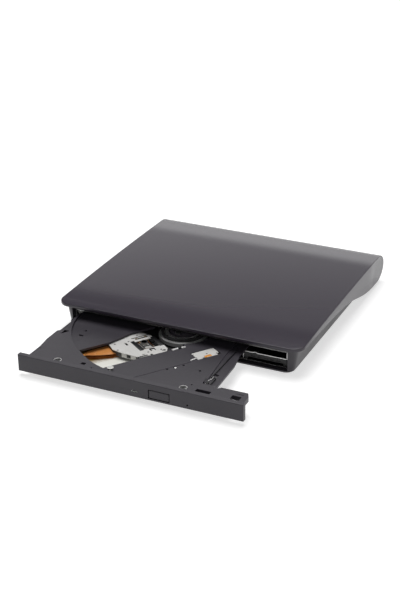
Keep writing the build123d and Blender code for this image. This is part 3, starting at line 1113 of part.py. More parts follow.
def build_all():
    save("top_cover", make_top_cover())
    save("bottom_shell", make_bottom_shell())
    save("rubber_feet", make_feet())
    save("housing_screws", make_housing_screws())
    save("bridge_board", make_bridge_board())
    save("data_socket", make_data_socket())
    save("drive_connector", make_drive_connector())
    save("drive_chassis", make_chassis())
    save("drive_top_cover", make_drive_top_cover())
    save("board_shield", make_board_shield())
    save("bay_spacer", make_bay_spacer())
    save("main_board", make_main_board())
    save("board_chips", make_board_chips())
    save("board_connector", make_board_connector())
    save("left_guide", guide(LEFT_WALL_X, 1, LEFT_GUIDE_Z1))
    save("right_guide", guide(RIGHT_WALL_X, -1, RIGHT_GUIDE_Z1))
    save("latch_post", make_latch_post())
    save("board_ribbon", make_board_ribbon())
    half_out = TRAY_OUT / 2
    save("left_rail", rail(LEFT_WALL_X, 1, LEFT_GUIDE_Z1), half_out)
    save("right_rail", rail(RIGHT_WALL_X, -1, RIGHT_GUIDE_Z1), half_out)
    save("main_ribbon", make_main_ribbon(), half_out)
    save("tray", make_tray(), TRAY_OUT)
    save("bezel", make_bezel(), TRAY_OUT)
    save("tray_bottom_cover", make_bottom_cover(), TRAY_OUT)
    save("traverse_plate", make_traverse_plate(), TRAY_OUT)
    save("dampers", make_dampers(), TRAY_OUT)
    save("spindle_base", make_spindle_base(), TRAY_OUT)
    main_rod = sled_rod(ROD_LEFT_START, ROD_LEFT_END, ROD_LEFT_B, ROD_Z, ROD_RADIUS)
    save("main_guide_rod", main_rod, TRAY_OUT)
    sub_rod = sled_rod(ROD_RIGHT_START, ROD_RIGHT_END, ROD_RIGHT_B, ROD_Z, ROD_RADIUS)
    save("sub_guide_rod", sub_rod, TRAY_OUT)
    save("stepper_motor", make_stepper_motor(), TRAY_OUT)
    save("tray_screws", make_tray_screws(), TRAY_OUT)
    save("tray_board", make_tray_board(), TRAY_OUT)
    save("tact_switch", make_tact_switch(), TRAY_OUT)
    save("switch_plunger", make_switch_plunger(), TRAY_OUT)
    save("light_pipe", make_light_pipe(), TRAY_OUT)
    save("turntable", make_turntable(), TRAY_OUT)
    save("turntable_ring", make_turntable_ring(), TRAY_OUT)
    save("hub_cone", make_hub_cone(), TRAY_OUT)
    save("disc_clamp", make_disc_clamp(), TRAY_OUT)
    save("pickup_carriage", make_pickup_carriage(), TRAY_OUT)
    save("pickup_cover", make_pickup_cover(), TRAY_OUT)
    save("laser_block", make_laser_block(), TRAY_OUT)
    save("lens_magnets", make_lens_magnets(), TRAY_OUT)
    save("pickup_ribbon", make_pickup_ribbon(), TRAY_OUT)
    save("lens_holder", make_lens_holder(), TRAY_OUT)
    save("lens", make_lens(), TRAY_OUT)
    save("screw_follower", make_screw_follower(), TRAY_OUT)
    save("lead_screw", make_lead_screw(), TRAY_OUT)
    save("eject_button", make_eject_button(), TRAY_OUT)
    save("latch_hook", make_latch_hook(), TRAY_OUT)
    save("latch_pin", make_latch_pin(), TRAY_OUT)
    save("solenoid", make_solenoid(), TRAY_OUT)
    save("solenoid_plunger", make_solenoid_plunger(), TRAY_OUT)
    save("emergency_lever", make_emergency_lever(), TRAY_OUT)


build_all()
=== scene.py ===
# %% [markdown]
# A slim tray drive in a wing-shaped housing, with its tray part way out.
# The mechanical model already has every piece in its place and on its joint, so this lesson
# starts from that model, gives each piece its finish, and adds the fine pieces that are
# easier to make here: windings, springs, wires, flexible boards and the like.

import json
import math

import bmesh
import bpy
from mathutils import Matrix, Vector


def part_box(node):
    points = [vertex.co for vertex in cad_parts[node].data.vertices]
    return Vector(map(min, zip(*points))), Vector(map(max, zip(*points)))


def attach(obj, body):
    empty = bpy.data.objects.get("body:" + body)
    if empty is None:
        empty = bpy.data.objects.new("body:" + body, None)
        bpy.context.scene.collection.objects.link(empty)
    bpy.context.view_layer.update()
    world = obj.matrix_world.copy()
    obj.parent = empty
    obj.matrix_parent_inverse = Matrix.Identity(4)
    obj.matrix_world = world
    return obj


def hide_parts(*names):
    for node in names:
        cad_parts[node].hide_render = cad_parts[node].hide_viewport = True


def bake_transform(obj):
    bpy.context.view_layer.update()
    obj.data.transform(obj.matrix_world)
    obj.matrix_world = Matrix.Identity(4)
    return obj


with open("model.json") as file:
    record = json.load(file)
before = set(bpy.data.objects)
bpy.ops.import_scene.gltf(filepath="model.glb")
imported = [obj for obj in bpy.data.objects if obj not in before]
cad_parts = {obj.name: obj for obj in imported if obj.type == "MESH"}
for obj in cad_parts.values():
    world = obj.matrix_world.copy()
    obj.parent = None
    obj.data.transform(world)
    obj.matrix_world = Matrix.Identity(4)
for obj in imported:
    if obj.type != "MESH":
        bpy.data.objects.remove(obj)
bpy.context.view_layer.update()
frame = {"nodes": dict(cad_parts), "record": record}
nodes = frame["nodes"]
MM = 0.001

# %% [markdown]
# The pickup rides on a sled that runs slantwise across the tray, outward from the disc hub.
# Its pieces are easiest to place in the sled's own directions: so far along it from the hub,
# so far across. The hub's centre is read off the model, and the slant is the model's own.

# %% Find the hub and the sled's direction
SLED_TURN = math.radians(234.4)
hub_low, hub_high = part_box("hub_cone")
HUB_X, HUB_Y = [(hub_low[k] + hub_high[k]) / 2 for k in (0, 1)]


def sled(along, across):
    """A place on the tray in metres, from millimetres outward from the hub and to its right."""
    return (HUB_X + (along * math.cos(SLED_TURN) - across * math.sin(SLED_TURN)) * MM,
            HUB_Y + (along * math.sin(SLED_TURN) + across * math.cos(SLED_TURN)) * MM)


print("hub at", round(HUB_X, 4), round(HUB_Y, 4))

# %% [markdown]
# The model's surfaces come as loose triangles. Welding them and shading smooth below a set
# angle makes turned and moulded faces read as curves, while folds and corners stay crisp.
# A narrow bevel on the sharp edges would be another way, but it slows every render, so the
# light on small rounded edges is left to the materials, which paint a highlight there.

# %% Shade the curved faces smoothly
SMOOTH_ANGLE = math.radians(28)
WELD_REACH = 2e-6


def smooth_by_angle(piece, angle=SMOOTH_ANGLE):
    """Weld the triangles and shade smooth across every edge flatter than angle."""
    weld = piece.modifiers.new("weld", "WELD")
    weld.merge_threshold = WELD_REACH
    piece.data.polygons.foreach_set("use_smooth", [True] * len(piece.data.polygons))
    split = piece.modifiers.new("sharp_edges", "EDGE_SPLIT")
    split.split_angle = angle
    split.use_edge_sharp = False


for node in nodes.values():
    smooth_by_angle(node)
print("smoothed", len(nodes))

# %% [markdown]
# The camera stands where the photographer stood: turned 24 degrees to the right of the
# drive's front and 25 degrees above the table, far enough away that the lid's sides hardly
# converge. Its place comes from the corners of the lid, the bezel and the disc well.

# %% Place the camera
CAMERA_TURN = math.radians(23.99)
CAMERA_RISE = math.radians(25.41)
CAMERA_ROLL = math.radians(0.12)
CAMERA_DISTANCE = 0.73812
CAMERA_TARGET = Vector((0, -0.0003, -0.001))
SENSOR_MM = 36.0
FOCAL_MM = 75.46
SHIFT_X, SHIFT_Y = -0.0451, 0.0057

scene = bpy.context.scene
camera_data = bpy.data.cameras.new("camera")
camera = bpy.data.objects.new("camera", camera_data)
scene.collection.objects.link(camera)
toward_camera = Vector((
    math.sin(CAMERA_TURN) * math.cos(CAMERA_RISE),
    -math.cos(CAMERA_TURN) * math.cos(CAMERA_RISE),
    math.sin(CAMERA_RISE),
))
camera.location = CAMERA_TARGET + toward_camera * CAMERA_DISTANCE
look = (-toward_camera).to_track_quat("-Z", "Y").to_matrix().to_4x4()
camera.matrix_world = Matrix.Translation(camera.location) @ look @ Matrix.Rotation(CAMERA_ROLL, 4, "Z")
camera_data.sensor_width = SENSOR_MM
camera_data.lens = FOCAL_MM
camera_data.shift_x = SHIFT_X
camera_data.shift_y = SHIFT_Y
scene.camera = camera
print("camera at", [round(v, 4) for v in camera.location])

# %% [markdown]
# The floor, the room and every finish are made of shader nodes. A few small helpers add a
# node and join it up in one call, so that the cells below read like formulas. Writing each
# node out by hand would do the same, but it hides what the nodes work out.

# %% Helpers for shader nodes


def fill(tree, node, values):
    """Join each value to the node's input in that place: a socket is linked, a number is set."""
    for place, value in enumerate(values):
        if isinstance(value, bpy.types.NodeSocket):
            tree.links.new(value, node.inputs[place])
        elif value is not None:
            node.inputs[place].default_value = value


def math_node(tree, operation, *values, clamp=False):
    """A Math node. Each operand is a socket or a number."""
    node = tree.nodes.new("ShaderNodeMath")
    node.operation = operation
    node.use_clamp = clamp
    fill(tree, node, values)
    return node.outputs[0]


def vector_value(tree, operation, *values):
    """A Vector Math node that gives a number, such as a length or a dot product."""
    node = tree.nodes.new("ShaderNodeVectorMath")
    node.operation = operation
    fill(tree, node, values)
    return node.outputs["Value"]


def map_value(tree, value, low, high, from_low=0.0, from_high=1.0, smooth=False):
    """Carry a value from one range to another, held at both ends."""
    node = tree.nodes.new("ShaderNodeMapRange")
    if smooth:
        node.interpolation_type = "SMOOTHSTEP"
    node.inputs["From Min"].default_value = from_low
    node.inputs["From Max"].default_value = from_high
    node.inputs["To Min"].default_value = low
    node.inputs["To Max"].default_value = high
    tree.links.new(value, node.inputs["Value"])
    return node.outputs["Result"]


def object_place(tree):
    return tree.nodes.new("ShaderNodeTexCoord").outputs["Object"]


def axis(tree, vector, letter):
    """One coordinate of a vector."""
    parts = tree.nodes.new("ShaderNodeSeparateXYZ")
    tree.links.new(vector, parts.inputs[0])
    return parts.outputs[letter]


print("node helpers ready")

# %% [markdown]
# A product table: a white floor that fades into a white room. The floor is an ordinary
# matte surface, so it keeps the soft shadow under the drive. Seen by the camera, and
# mirrored in a glossy part, it gets a little extra brightness, which lifts only the unshaded
# part to pure white. Far from the drive the lamps fade, so the camera sees more lift there.

# %% Floor
scene.view_settings.view_transform = "Standard"
TABLE_Z = -0.001
FLOOR_HALF = 3.0
FLOOR_GREY = 0.62
FLOOR_LIFT = 0.62
FAR_LIFT, FAR_FROM, FAR_TO = 0.55, 0.45, 1.6

floor_mesh = bpy.data.meshes.new("floor")
floor_corners = [(x * FLOOR_HALF, y * FLOOR_HALF, TABLE_Z) for x, y in ((-1, -1), (1, -1), (1, 1), (-1, 1))]
floor_mesh.from_pydata(floor_corners, [], [(0, 1, 2, 3)])
floor_mesh.update()
floor = bpy.data.objects.new("floor", floor_mesh)
scene.collection.objects.link(floor)

floor_material = bpy.data.materials.new("floor_white")
floor_material.use_nodes = True
tree = floor_material.node_tree
tree.nodes.clear()
matte = tree.nodes.new("ShaderNodeBsdfDiffuse")
matte.inputs["Color"].default_value = (FLOOR_GREY, FLOOR_GREY, FLOOR_GREY, 1)
glow = tree.nodes.new("ShaderNodeEmission")
glow.inputs["Color"].default_value = (1, 1, 1, 1)
path = tree.nodes.new("ShaderNodeLightPath")
seen_or_mirrored = math_node(tree, "MAXIMUM", path.outputs["Is Camera Ray"], path.outputs["Is Glossy Ray"])
near_lift = math_node(tree, "MULTIPLY", seen_or_mirrored, FLOOR_LIFT)
far = map_value(tree, vector_value(tree, "LENGTH", object_place(tree)), 0.0, FAR_LIFT, FAR_FROM, FAR_TO)
lift = math_node(tree, "MULTIPLY_ADD", far, path.outputs["Is Camera Ray"], near_lift)
tree.links.new(lift, glow.inputs["Strength"])
both = tree.nodes.new("ShaderNodeAddShader")
output = tree.nodes.new("ShaderNodeOutputMaterial")
tree.links.new(matte.outputs[0], both.inputs[0])
tree.links.new(glow.outputs[0], both.inputs[1])
tree.links.new(both.outputs[0], output.inputs["Surface"])
floor_mesh.materials.append(floor_material)
print("floor", 2 * FLOOR_HALF, "m wide at", TABLE_Z)

# %% [markdown]
# The room is what the glossy plastic mirrors. It is bright near the horizon and darker
# overhead, so a lid that slopes down to the front mirrors less and less light along its
# length. Its front is dim, so that light falls off under the lid. The camera itself, and
# anything seen through glass, gets plain white instead. A picture of a real studio could
# stand here, but two ranges are easier to set and need no file.

# %% Room
HORIZON_LIGHT, ZENITH_LIGHT = 1.25, 0.06
HORIZON_HEIGHT, ZENITH_HEIGHT = 0.18, 0.62
BACK_TURN = math.radians(114)
FRONT_SHARE = 0.16
FRONT_END, BACK_END = -0.3, 0.5

world = bpy.data.worlds.new("white_room")
world.use_nodes = True
scene.world = world
tree = world.node_tree
tree.nodes.clear()
direction = tree.nodes.new("ShaderNodeTexCoord").outputs["Generated"]
by_height = map_value(tree, axis(tree, direction, "Z"), HORIZON_LIGHT, ZENITH_LIGHT,
                      HORIZON_HEIGHT, ZENITH_HEIGHT, smooth=True)
toward_back = vector_value(tree, "DOT_PRODUCT", direction, (math.cos(BACK_TURN), math.sin(BACK_TURN), 0))
by_side = map_value(tree, toward_back, FRONT_SHARE, 1.0, FRONT_END, BACK_END)
mirrored = math_node(tree, "MULTIPLY", by_height, by_side)
path = tree.nodes.new("ShaderNodeLightPath")
seen = math_node(tree, "MAXIMUM", path.outputs["Is Camera Ray"], path.outputs["Is Transmission Ray"])
strength = tree.nodes.new("ShaderNodeMix")
strength.inputs["B"].default_value = 1.0
tree.links.new(seen, strength.inputs["Factor"])
tree.links.new(mirrored, strength.inputs["A"])
room = tree.nodes.new("ShaderNodeBackground")
room.inputs["Color"].default_value = (1, 1, 1, 1)
tree.links.new(strength.outputs["Result"], room.inputs["Strength"])
output = tree.nodes.new("ShaderNodeOutputWorld")
tree.links.new(room.outputs[0], output.inputs["Surface"])
print("room light from", HORIZON_LIGHT, "at the horizon to", ZENITH_LIGHT, "overhead")

# %% [markdown]
# The light comes from one large softbox high above and behind the drive on the left, with
# a weaker one at the front so that the bezel and the tray's underside don't go black. Area
# lamps give the soft shadow edges of the picture, which a sun or a point lamp wouldn't.

# %% Studio lights


def softbox(name, place, width, height, watts):
    """An area lamp at a place, aimed at the drive."""
    data = bpy.data.lights.new(name, "AREA")
    data.shape = "RECTANGLE"
    data.size = width
    data.size_y = height
    data.energy = watts
    lamp = bpy.data.objects.new(name, data)
    scene.collection.objects.link(lamp)
    lamp.location = place
    lamp.rotation_euler = (-Vector(place)).to_track_quat("-Z", "Y").to_euler()
    return lamp


softbox("softbox_top", (-0.15, 0.18, 1.25), 0.9, 0.9, 14.0)
softbox("softbox_front", (0.5, -1.1, 0.7), 0.9, 0.7, 2.5)

# %% [markdown]
# Shared surface effects are shader node groups. Each gives out only masks, values and
# heights, and the material decides what to do with them. Copying the nodes into each
# material would work too, but a group is changed in one place.

# %% Start a group of nodes
GROUPS = {}
NOISE_SPAN = (0.3, 0.7)  # nearly all of a noise texture's values lie in it


def new_group(name, inputs, outputs):
    """A shader node group with number inputs (name, default) and named outputs."""
    group = bpy.data.node_groups.new(name, "ShaderNodeTree")
    for label, value in inputs:
        socket = group.interface.new_socket(label, in_out="INPUT", socket_type="NodeSocketFloat")
        socket.default_value = value
    for label in outputs:
        group.interface.new_socket(label, in_out="OUTPUT", socket_type="NodeSocketFloat")
    start = group.nodes.new("NodeGroupInput")
    end = group.nodes.new("NodeGroupOutput")
    return group, start, end


def noise_node(tree, vector, scale, detail, roughness=0.5):
    """A noise texture. Its scale is a socket or a number."""
    node = tree.nodes.new("ShaderNodeTexNoise")
    node.inputs["Detail"].default_value = detail
    node.inputs["Roughness"].default_value = roughness
    tree.links.new(vector, node.inputs["Vector"])
    if isinstance(scale, bpy.types.NodeSocket):
        tree.links.new(scale, node.inputs["Scale"])
    else:
        node.inputs["Scale"].default_value = scale
    return node.outputs[0]


print("group helpers ready")

# %% [markdown]
# Moulded plastic takes the texture that sparks have left on the steel mould: a fine pebble
# with noise in it. From one finger's width to the next its gloss also drifts a little. A scanned texture
# would be closer, but noise and cells have no seams and no fixed size.

# %% Effect: moulded grain


def build_moulded_grain():
    """A fine pebble height, and slow patches of gloss."""
    group, start, end = new_group("moulded_grain", [("Scale", 2600.0), ("Patch Scale", 45.0)],
                                  ["Height", "Patches"])
    where = object_place(group)
    fine = noise_node(group, where, start.outputs["Scale"], 3.0, 0.6)
    pebble = group.nodes.new("ShaderNodeTexVoronoi")
    pebble.feature = "SMOOTH_F1"
    group.links.new(where, pebble.inputs["Vector"])
    group.links.new(start.outputs["Scale"], pebble.inputs["Scale"])
    height = math_node(group, "ADD", math_node(group, "MULTIPLY", fine, 0.6),
                       math_node(group, "MULTIPLY", pebble.outputs["Distance"], 0.5))
    patches = noise_node(group, where, start.outputs["Patch Scale"], 5.0)
    group.links.new(height, end.inputs["Height"])
    group.links.new(patches, end.inputs["Patches"])
    return group


GROUPS["grain"] = build_moulded_grain()
print("made", GROUPS["grain"].name)

# %% [markdown]
# Edges catch the light, because each one is slightly round and a little worn. The mask
# compares a rounded normal with the real one: they differ only near an edge.

# %% Effect: edges
BEVEL_SAMPLES = 4


def build_edge_mask():
    """1 on edges, 0 on flat faces."""
    group, start, end = new_group("edge_mask", [("Radius", 0.0003), ("Gain", 4.0)], ["Mask"])
    bevel = group.nodes.new("ShaderNodeBevel")
    bevel.samples = BEVEL_SAMPLES
    geometry = group.nodes.new("ShaderNodeNewGeometry")
    group.links.new(start.outputs["Radius"], bevel.inputs["Radius"])
    alike = vector_value(group, "DOT_PRODUCT", bevel.outputs[0], geometry.outputs["Normal"])
    off = math_node(group, "SUBTRACT", 1.0, alike)
    mask = math_node(group, "MULTIPLY", off, start.outputs["Gain"], clamp=True)
    group.links.new(mask, end.inputs["Mask"])
    return group


GROUPS["edge"] = build_edge_mask()
print("made", GROUPS["edge"].name)

# %% [markdown]
# Rolled sheet and drawn rod have long fine marks in one direction. Noise that is squeezed
# hard across that direction gives them, at any length.

# %% Effect: brushed lines


def build_brushed_lines():
    """Long fine marks along one direction, set by two scales and a turn."""
    group, start, end = new_group("brushed_lines", [("Along", 60.0), ("Across", 9000.0), ("Turn", 0.0)],
                                  ["Streaks"])
    turned = group.nodes.new("ShaderNodeVectorRotate")
    turned.rotation_type = "Z_AXIS"
    group.links.new(object_place(group), turned.inputs["Vector"])
    group.links.new(start.outputs["Turn"], turned.inputs["Angle"])
    scales = group.nodes.new("ShaderNodeCombineXYZ")
    for place, label in enumerate(("Along", "Across", "Across")):
        group.links.new(start.outputs[label], scales.inputs[place])
    scaled = group.nodes.new("ShaderNodeVectorMath")
    scaled.operation = "MULTIPLY"
    group.links.new(turned.outputs[0], scaled.inputs[0])
    group.links.new(scales.outputs[0], scaled.inputs[1])
    group.links.new(noise_node(group, scaled.outputs[0], 1.0, 4.0), end.inputs["Streaks"])
    return group


GROUPS["lines"] = build_brushed_lines()
print("made", GROUPS["lines"].name)

# %% [markdown]
# A flexible board has copper conductors side by side under its amber film. They run along
# the sled, so a sine across it, cut off above and below, draws them.

# %% Effect: copper tracks
TRACK_PITCH = 0.8 * MM
TRACK_LEAN = 0.35
TRACK_CRISP = 3.0


def sled_aside(tree):
    """How far across the sled a point lies, from the model's middle."""
    return vector_value(tree, "DOT_PRODUCT", object_place(tree), (-math.sin(SLED_TURN), math.cos(SLED_TURN), 0))


def build_tracks():
    """1 on the conductors, 0 between them."""
    group, start, end = new_group("copper_tracks", [("Pitch", TRACK_PITCH)], ["Mask"])
    turns = math_node(group, "DIVIDE", sled_aside(group), start.outputs["Pitch"])
    wave = math_node(group, "SINE", math_node(group, "MULTIPLY", turns, 2 * math.pi))
    mask = math_node(group, "MULTIPLY", math_node(group, "ADD", wave, TRACK_LEAN), TRACK_CRISP, clamp=True)
    group.links.new(mask, end.inputs["Mask"])
    return group


GROUPS["tracks"] = build_tracks()
print("made", GROUPS["tracks"].name)

# %% [markdown]
# Every finish is laid out alike: a base colour that shifts a little in slow patches, lighter
# edges that are partly wear and partly a painted highlight, a roughness that follows the same
# patches, and a bump. These helpers do what all of them share, and the functions after them
# add what each one needs.

# %% Helpers for finishes


def effect(tree, name, **values):
    """Place a shared effect in a material, with its own values."""
    node = tree.nodes.new("ShaderNodeGroup")
    node.node_tree = GROUPS[name]
    for label, value in values.items():
        node.inputs[label.replace("_", " ")].default_value = value
    return node


def mix_colour(tree, mask, first, second):
    """A colour mix. Each colour is a socket or a red, green and blue triple."""
    node = tree.nodes.new("ShaderNodeMix")
    node.data_type = "RGBA"
    tree.links.new(mask, node.inputs["Factor"])
    for label, value in (("A", first), ("B", second)):
        socket = [s for s in node.inputs if s.name == label and s.type == "RGBA"][0]
        if isinstance(value, (tuple, list)):
            socket.default_value = (*value, 1)
        else:
            tree.links.new(value, socket)
    return [s for s in node.outputs if s.type == "RGBA"][0]


def tinted(colour, factor):
    return tuple(min(1.0, c * factor) for c in colour)


def start_material(name, metallic=0.0, specular=0.5, coat=0.0):
    material = bpy.data.materials.new(name)
    material.use_nodes = True
    tree = material.node_tree
    shader = tree.nodes["Principled BSDF"]
    shader.inputs["Metallic"].default_value = metallic
    shader.inputs["Specular IOR Level"].default_value = specular
    shader.inputs["Coat Weight"].default_value = coat
    return material, tree, shader


def add_bump(tree, shader, height, distance, base=None):
    """Raise the surface by a height. base is a normal to start from."""
    bump = tree.nodes.new("ShaderNodeBump")
    bump.inputs["Distance"].default_value = distance
    if base:
        tree.links.new(base, bump.inputs["Normal"])
    tree.links.new(height, bump.inputs["Height"])
    tree.links.new(bump.outputs[0], shader.inputs["Normal"])


print("finish helpers ready")

# %% [markdown]
# Moulded plastic: the housing, the bezel, the tray, the button and the black small parts.
# They differ in colour, gloss and depth of grain. On the button the edge colour is darker
# than the face: painted shade of the thin gap round it, which draws the joint line.

# %% Moulded plastic


def moulded(name, colour, rough=(0.42, 0.55), grain=2600.0, depth=0.03, edge_wear_and_painted_light=1.6, spread=0.10, form=None,
            rim=0.0003):
    """Moulded plastic with a spark-eroded texture. form gives a normal to start the bump from."""
    material, tree, shader = start_material(name)
    texture = effect(tree, "grain", Scale=grain)
    edge = effect(tree, "edge", Radius=rim)
    patches = texture.outputs["Patches"]
    base = mix_colour(tree, patches, tinted(colour, 1 - spread), tinted(colour, 1 + spread))
    # Edges take this factor of the colour: partly wear, partly a painted highlight, and on the button painted
    # shade.
    base = mix_colour(tree, edge.outputs["Mask"], base, tinted(colour, edge_wear_and_painted_light))
    tree.links.new(base, shader.inputs["Base Color"])
    tree.links.new(map_value(tree, patches, *rough, *NOISE_SPAN), shader.inputs["Roughness"])
    add_bump(tree, shader, texture.outputs["Height"], depth * MM, form(tree) if form else None)
    return material


print("moulded plastic ready")

# %% [markdown]
# In the picture the lid has a darker band along its front lip and a lighter one before its
# back edge. Both come from how the surface tips there, by less than the model's walls. The
# lid keeps its shape, and its normal is tipped by a height along the front-to-back
# direction.

# %% How the lid tips at its front and back
LIP_Y, LIP_FALL, LIP_SOFT = -0.0525, 0.085, 0.010
BACK_Y, BACK_FALL, BACK_SOFT = 0.0475, 0.13, 0.008


def lid_form(tree):
    """The lid falls away a little more along its front lip and towards its back edge."""
    depth = axis(tree, object_place(tree), "Y")

    def fall(operation, start, slope, softness):
        past = math_node(tree, "ADD", depth, -start)
        return math_node(tree, "MULTIPLY", math_node(tree, operation, past, 0.0, softness), slope)

    height = math_node(tree, "ADD", fall("SMOOTH_MIN", LIP_Y, LIP_FALL, LIP_SOFT),
                       fall("SMOOTH_MAX", BACK_Y, -BACK_FALL, BACK_SOFT))
    bump = tree.nodes.new("ShaderNodeBump")
    bump.inputs["Distance"].default_value = 1.0
    tree.links.new(height, bump.inputs["Height"])
    return bump.outputs[0]


print("lid form ready")

# %% [markdown]
# Metal: the drive's sheet steel, the light cast pickup, the rods and the rotor. Light metals
# are partly diffuse here, because their brushed or blasted faces scatter the light.

# %% Rolled and drawn metal
STREAK_DARK, STREAK_LIGHT = 0.86, 1.08
METAL_RIM = 0.2 * MM


def rolled_metal(name, colour, rough=(0.24, 0.40), turn=0.0, along=60.0, across=9000.0, edge_wear_and_painted_light=1.1, depth=0.004,
                 metallic=1.0):
    """Sheet or drawn metal with fine marks along one direction."""
    material, tree, shader = start_material(name, metallic=metallic)
    streaks = effect(tree, "lines", Turn=turn, Along=along, Across=across).outputs["Streaks"]
    texture = effect(tree, "grain", Scale=900.0, Patch_Scale=120.0)
    edge = effect(tree, "edge", Radius=METAL_RIM)
    base = mix_colour(tree, streaks, tinted(colour, STREAK_DARK), tinted(colour, STREAK_LIGHT))
    # Edges take this factor of the colour: partly wear and partly a painted highlight.
    base = mix_colour(tree, edge.outputs["Mask"], base, tinted(colour, edge_wear_and_painted_light))
    tree.links.new(base, shader.inputs["Base Color"])
    gloss = math_node(tree, "ADD", math_node(tree, "MULTIPLY", streaks, 0.5),
                      math_node(tree, "MULTIPLY", texture.outputs["Patches"], 0.5))
    tree.links.new(map_value(tree, gloss, *rough, 0.35, 0.65), shader.inputs["Roughness"])
    add_bump(tree, shader, streaks, depth * MM)
    return material


print("metal ready")

# %% [markdown]
# The lens and the light pipe are clear. Both let light through and have a faint haze, which
# keeps them from vanishing against the dark well.

# %% Clear parts
HAZE = 0.08


def clear(name, colour, rough=0.05, ior=1.5):
    """Clear glass or moulded acrylic, with a faint haze."""
    material, tree, shader = start_material(name)
    shader.inputs["Transmission Weight"].default_value = 0.85
    shader.inputs["IOR"].default_value = ior
    patches = effect(tree, "grain", Scale=400.0, Patch_Scale=300.0).outputs["Patches"]
    tree.links.new(mix_colour(tree, patches, colour, tinted(colour, 1.1)), shader.inputs["Base Color"])
    tree.links.new(map_value(tree, patches, rough, rough + HAZE, *NOISE_SPAN), shader.inputs["Roughness"])
    return material


print("clear parts ready")

# %% [markdown]
# The folded ribbons and the motor's flexible board are amber film over copper. A thin coat
# gives the sheen of the film, and the tracks show through it as a slight relief.

# %% Amber film over copper
FILM_ROUGH = (0.22, 0.34)
TRACK_RELIEF = 0.02 * MM


def film(name, colour, copper):
    """Amber film over copper conductors that run along the sled."""
    material, tree, shader = start_material(name, coat=0.4)
    shader.inputs["Coat Roughness"].default_value = 0.12
    track = effect(tree, "tracks").outputs["Mask"]
    patches = effect(tree, "grain", Scale=700.0, Patch_Scale=160.0).outputs["Patches"]
    base = mix_colour(tree, track, tinted(colour, 0.9), tinted(colour, 1.15))
    base = mix_colour(tree, map_value(tree, patches, 0.0, 0.6, 0.45, 0.7), base, copper)
    tree.links.new(base, shader.inputs["Base Color"])
    tree.links.new(map_value(tree, patches, *FILM_ROUGH, *NOISE_SPAN), shader.inputs["Roughness"])
    add_bump(tree, shader, track, TRACK_RELIEF)
    return material


print("film ready")

# %% [markdown]
# Beside the ribbon the cream panel under the pickup looks brown, where light has come
# through the amber film. Real light through the film would need many more samples to come
# out clean, so the panel's own colour carries a painted amber shadow, with a ragged edge.

# %% Painted amber shadow on the panel
AMBER_SHADOW_COLOUR = (0.22, 0.12, 0.015)
SHADOW_START, SHADOW_END = -1.5 * MM, 3.6 * MM
SHADOW_RAGGED = 3.0 * MM


def paint_amber_shadow(material):
    """Paint the ribbon's amber shadow on the bright panel close beside the ribbon."""
    tree = material.node_tree
    shader = tree.nodes["Principled BSDF"]
    base = shader.inputs["Base Color"].links[0].from_socket
    hub_aside = -HUB_X * math.sin(SLED_TURN) + HUB_Y * math.cos(SLED_TURN)
    ragged = effect(tree, "grain", Scale=900.0, Patch_Scale=900.0).outputs["Patches"]
    edge = math_node(tree, "ADD", sled_aside(tree), math_node(tree, "MULTIPLY", ragged, SHADOW_RAGGED))
    mask = map_value(tree, edge, 1.0, 0.0, hub_aside + SHADOW_START, hub_aside + SHADOW_END)
    tree.links.new(mix_colour(tree, mask, base, AMBER_SHADOW_COLOUR), shader.inputs["Base Color"])


print("cast ready")

# %% [markdown]
# The finishes. Dark parts are not black: the lid is a warm dark grey, the bezel and the
# tray nearly the same, and all of them take their lighter look in the picture from the
# bright back of the room. The lid's own grain is very fine, so its colour and gloss hardly
# drift.

# %% Finishes by material
FINISHES = {
    "cover_plastic": moulded("cover_plastic", (0.038, 0.031, 0.045), rough=(0.268, 0.272), depth=0.001, edge_wear_and_painted_light=1.7,
                             spread=0.01, form=lid_form),
    "shell_plastic": moulded("shell_plastic", (0.036, 0.032, 0.040), rough=(0.30, 0.40), depth=0.02, edge_wear_and_painted_light=2.0),
    "bezel_plastic": moulded("bezel_plastic", (0.042, 0.038, 0.047), rough=(0.40, 0.50), depth=0.015, edge_wear_and_painted_light=2.0),
    "tray_plastic": moulded("tray_plastic", (0.036, 0.032, 0.041), rough=(0.38, 0.52), grain=1500.0, depth=0.03,
                            edge_wear_and_painted_light=2.6),
    "black_plastic": moulded("black_plastic", (0.014, 0.014, 0.015), rough=(0.40, 0.55), edge_wear_and_painted_light=2.2),
    "white_plastic": moulded("white_plastic", (0.66, 0.66, 0.63), rough=(0.35, 0.45), edge_wear_and_painted_light=1.05, spread=0.03),
    "rubber": moulded("rubber", (0.018, 0.018, 0.019), rough=(0.7, 0.85), edge_wear_and_painted_light=1.3),
    "board_green": moulded("board_green", (0.012, 0.07, 0.03), rough=(0.25, 0.4), edge_wear_and_painted_light=1.2, spread=0.2),
    "bright_steel": rolled_metal("bright_steel", (0.50, 0.49, 0.46), rough=(0.42, 0.56), metallic=0.5),
    "shield_steel": rolled_metal("shield_steel", (0.10, 0.10, 0.105), rough=(0.35, 0.5), edge_wear_and_painted_light=7.0),
    "pickup_metal": rolled_metal("pickup_metal", (0.70, 0.69, 0.67), rough=(0.46, 0.60), turn=0.6, metallic=0.3,
                                 edge_wear_and_painted_light=1.15),
    "rod_steel": rolled_metal("rod_steel", (0.80, 0.80, 0.81), rough=(0.12, 0.22)),
    "rotor_metal": rolled_metal("rotor_metal", (0.78, 0.78, 0.77), rough=(0.28, 0.42), metallic=0.7),
    "copper_ribbon": film("copper_ribbon", (0.66, 0.27, 0.07), (0.42, 0.13, 0.03)),
    "lens_glass": clear("lens_glass", (0.62, 0.70, 0.95)),
    "light_clear": clear("light_clear", (0.85, 0.9, 0.85), rough=0.2),
}
print("finishes:", len(FINISHES))

# %% [markdown]
# Some pieces share a material with others in the model, but look different in the picture.
# Each of those gets a finish of its own, and all the rest take their material's finish.

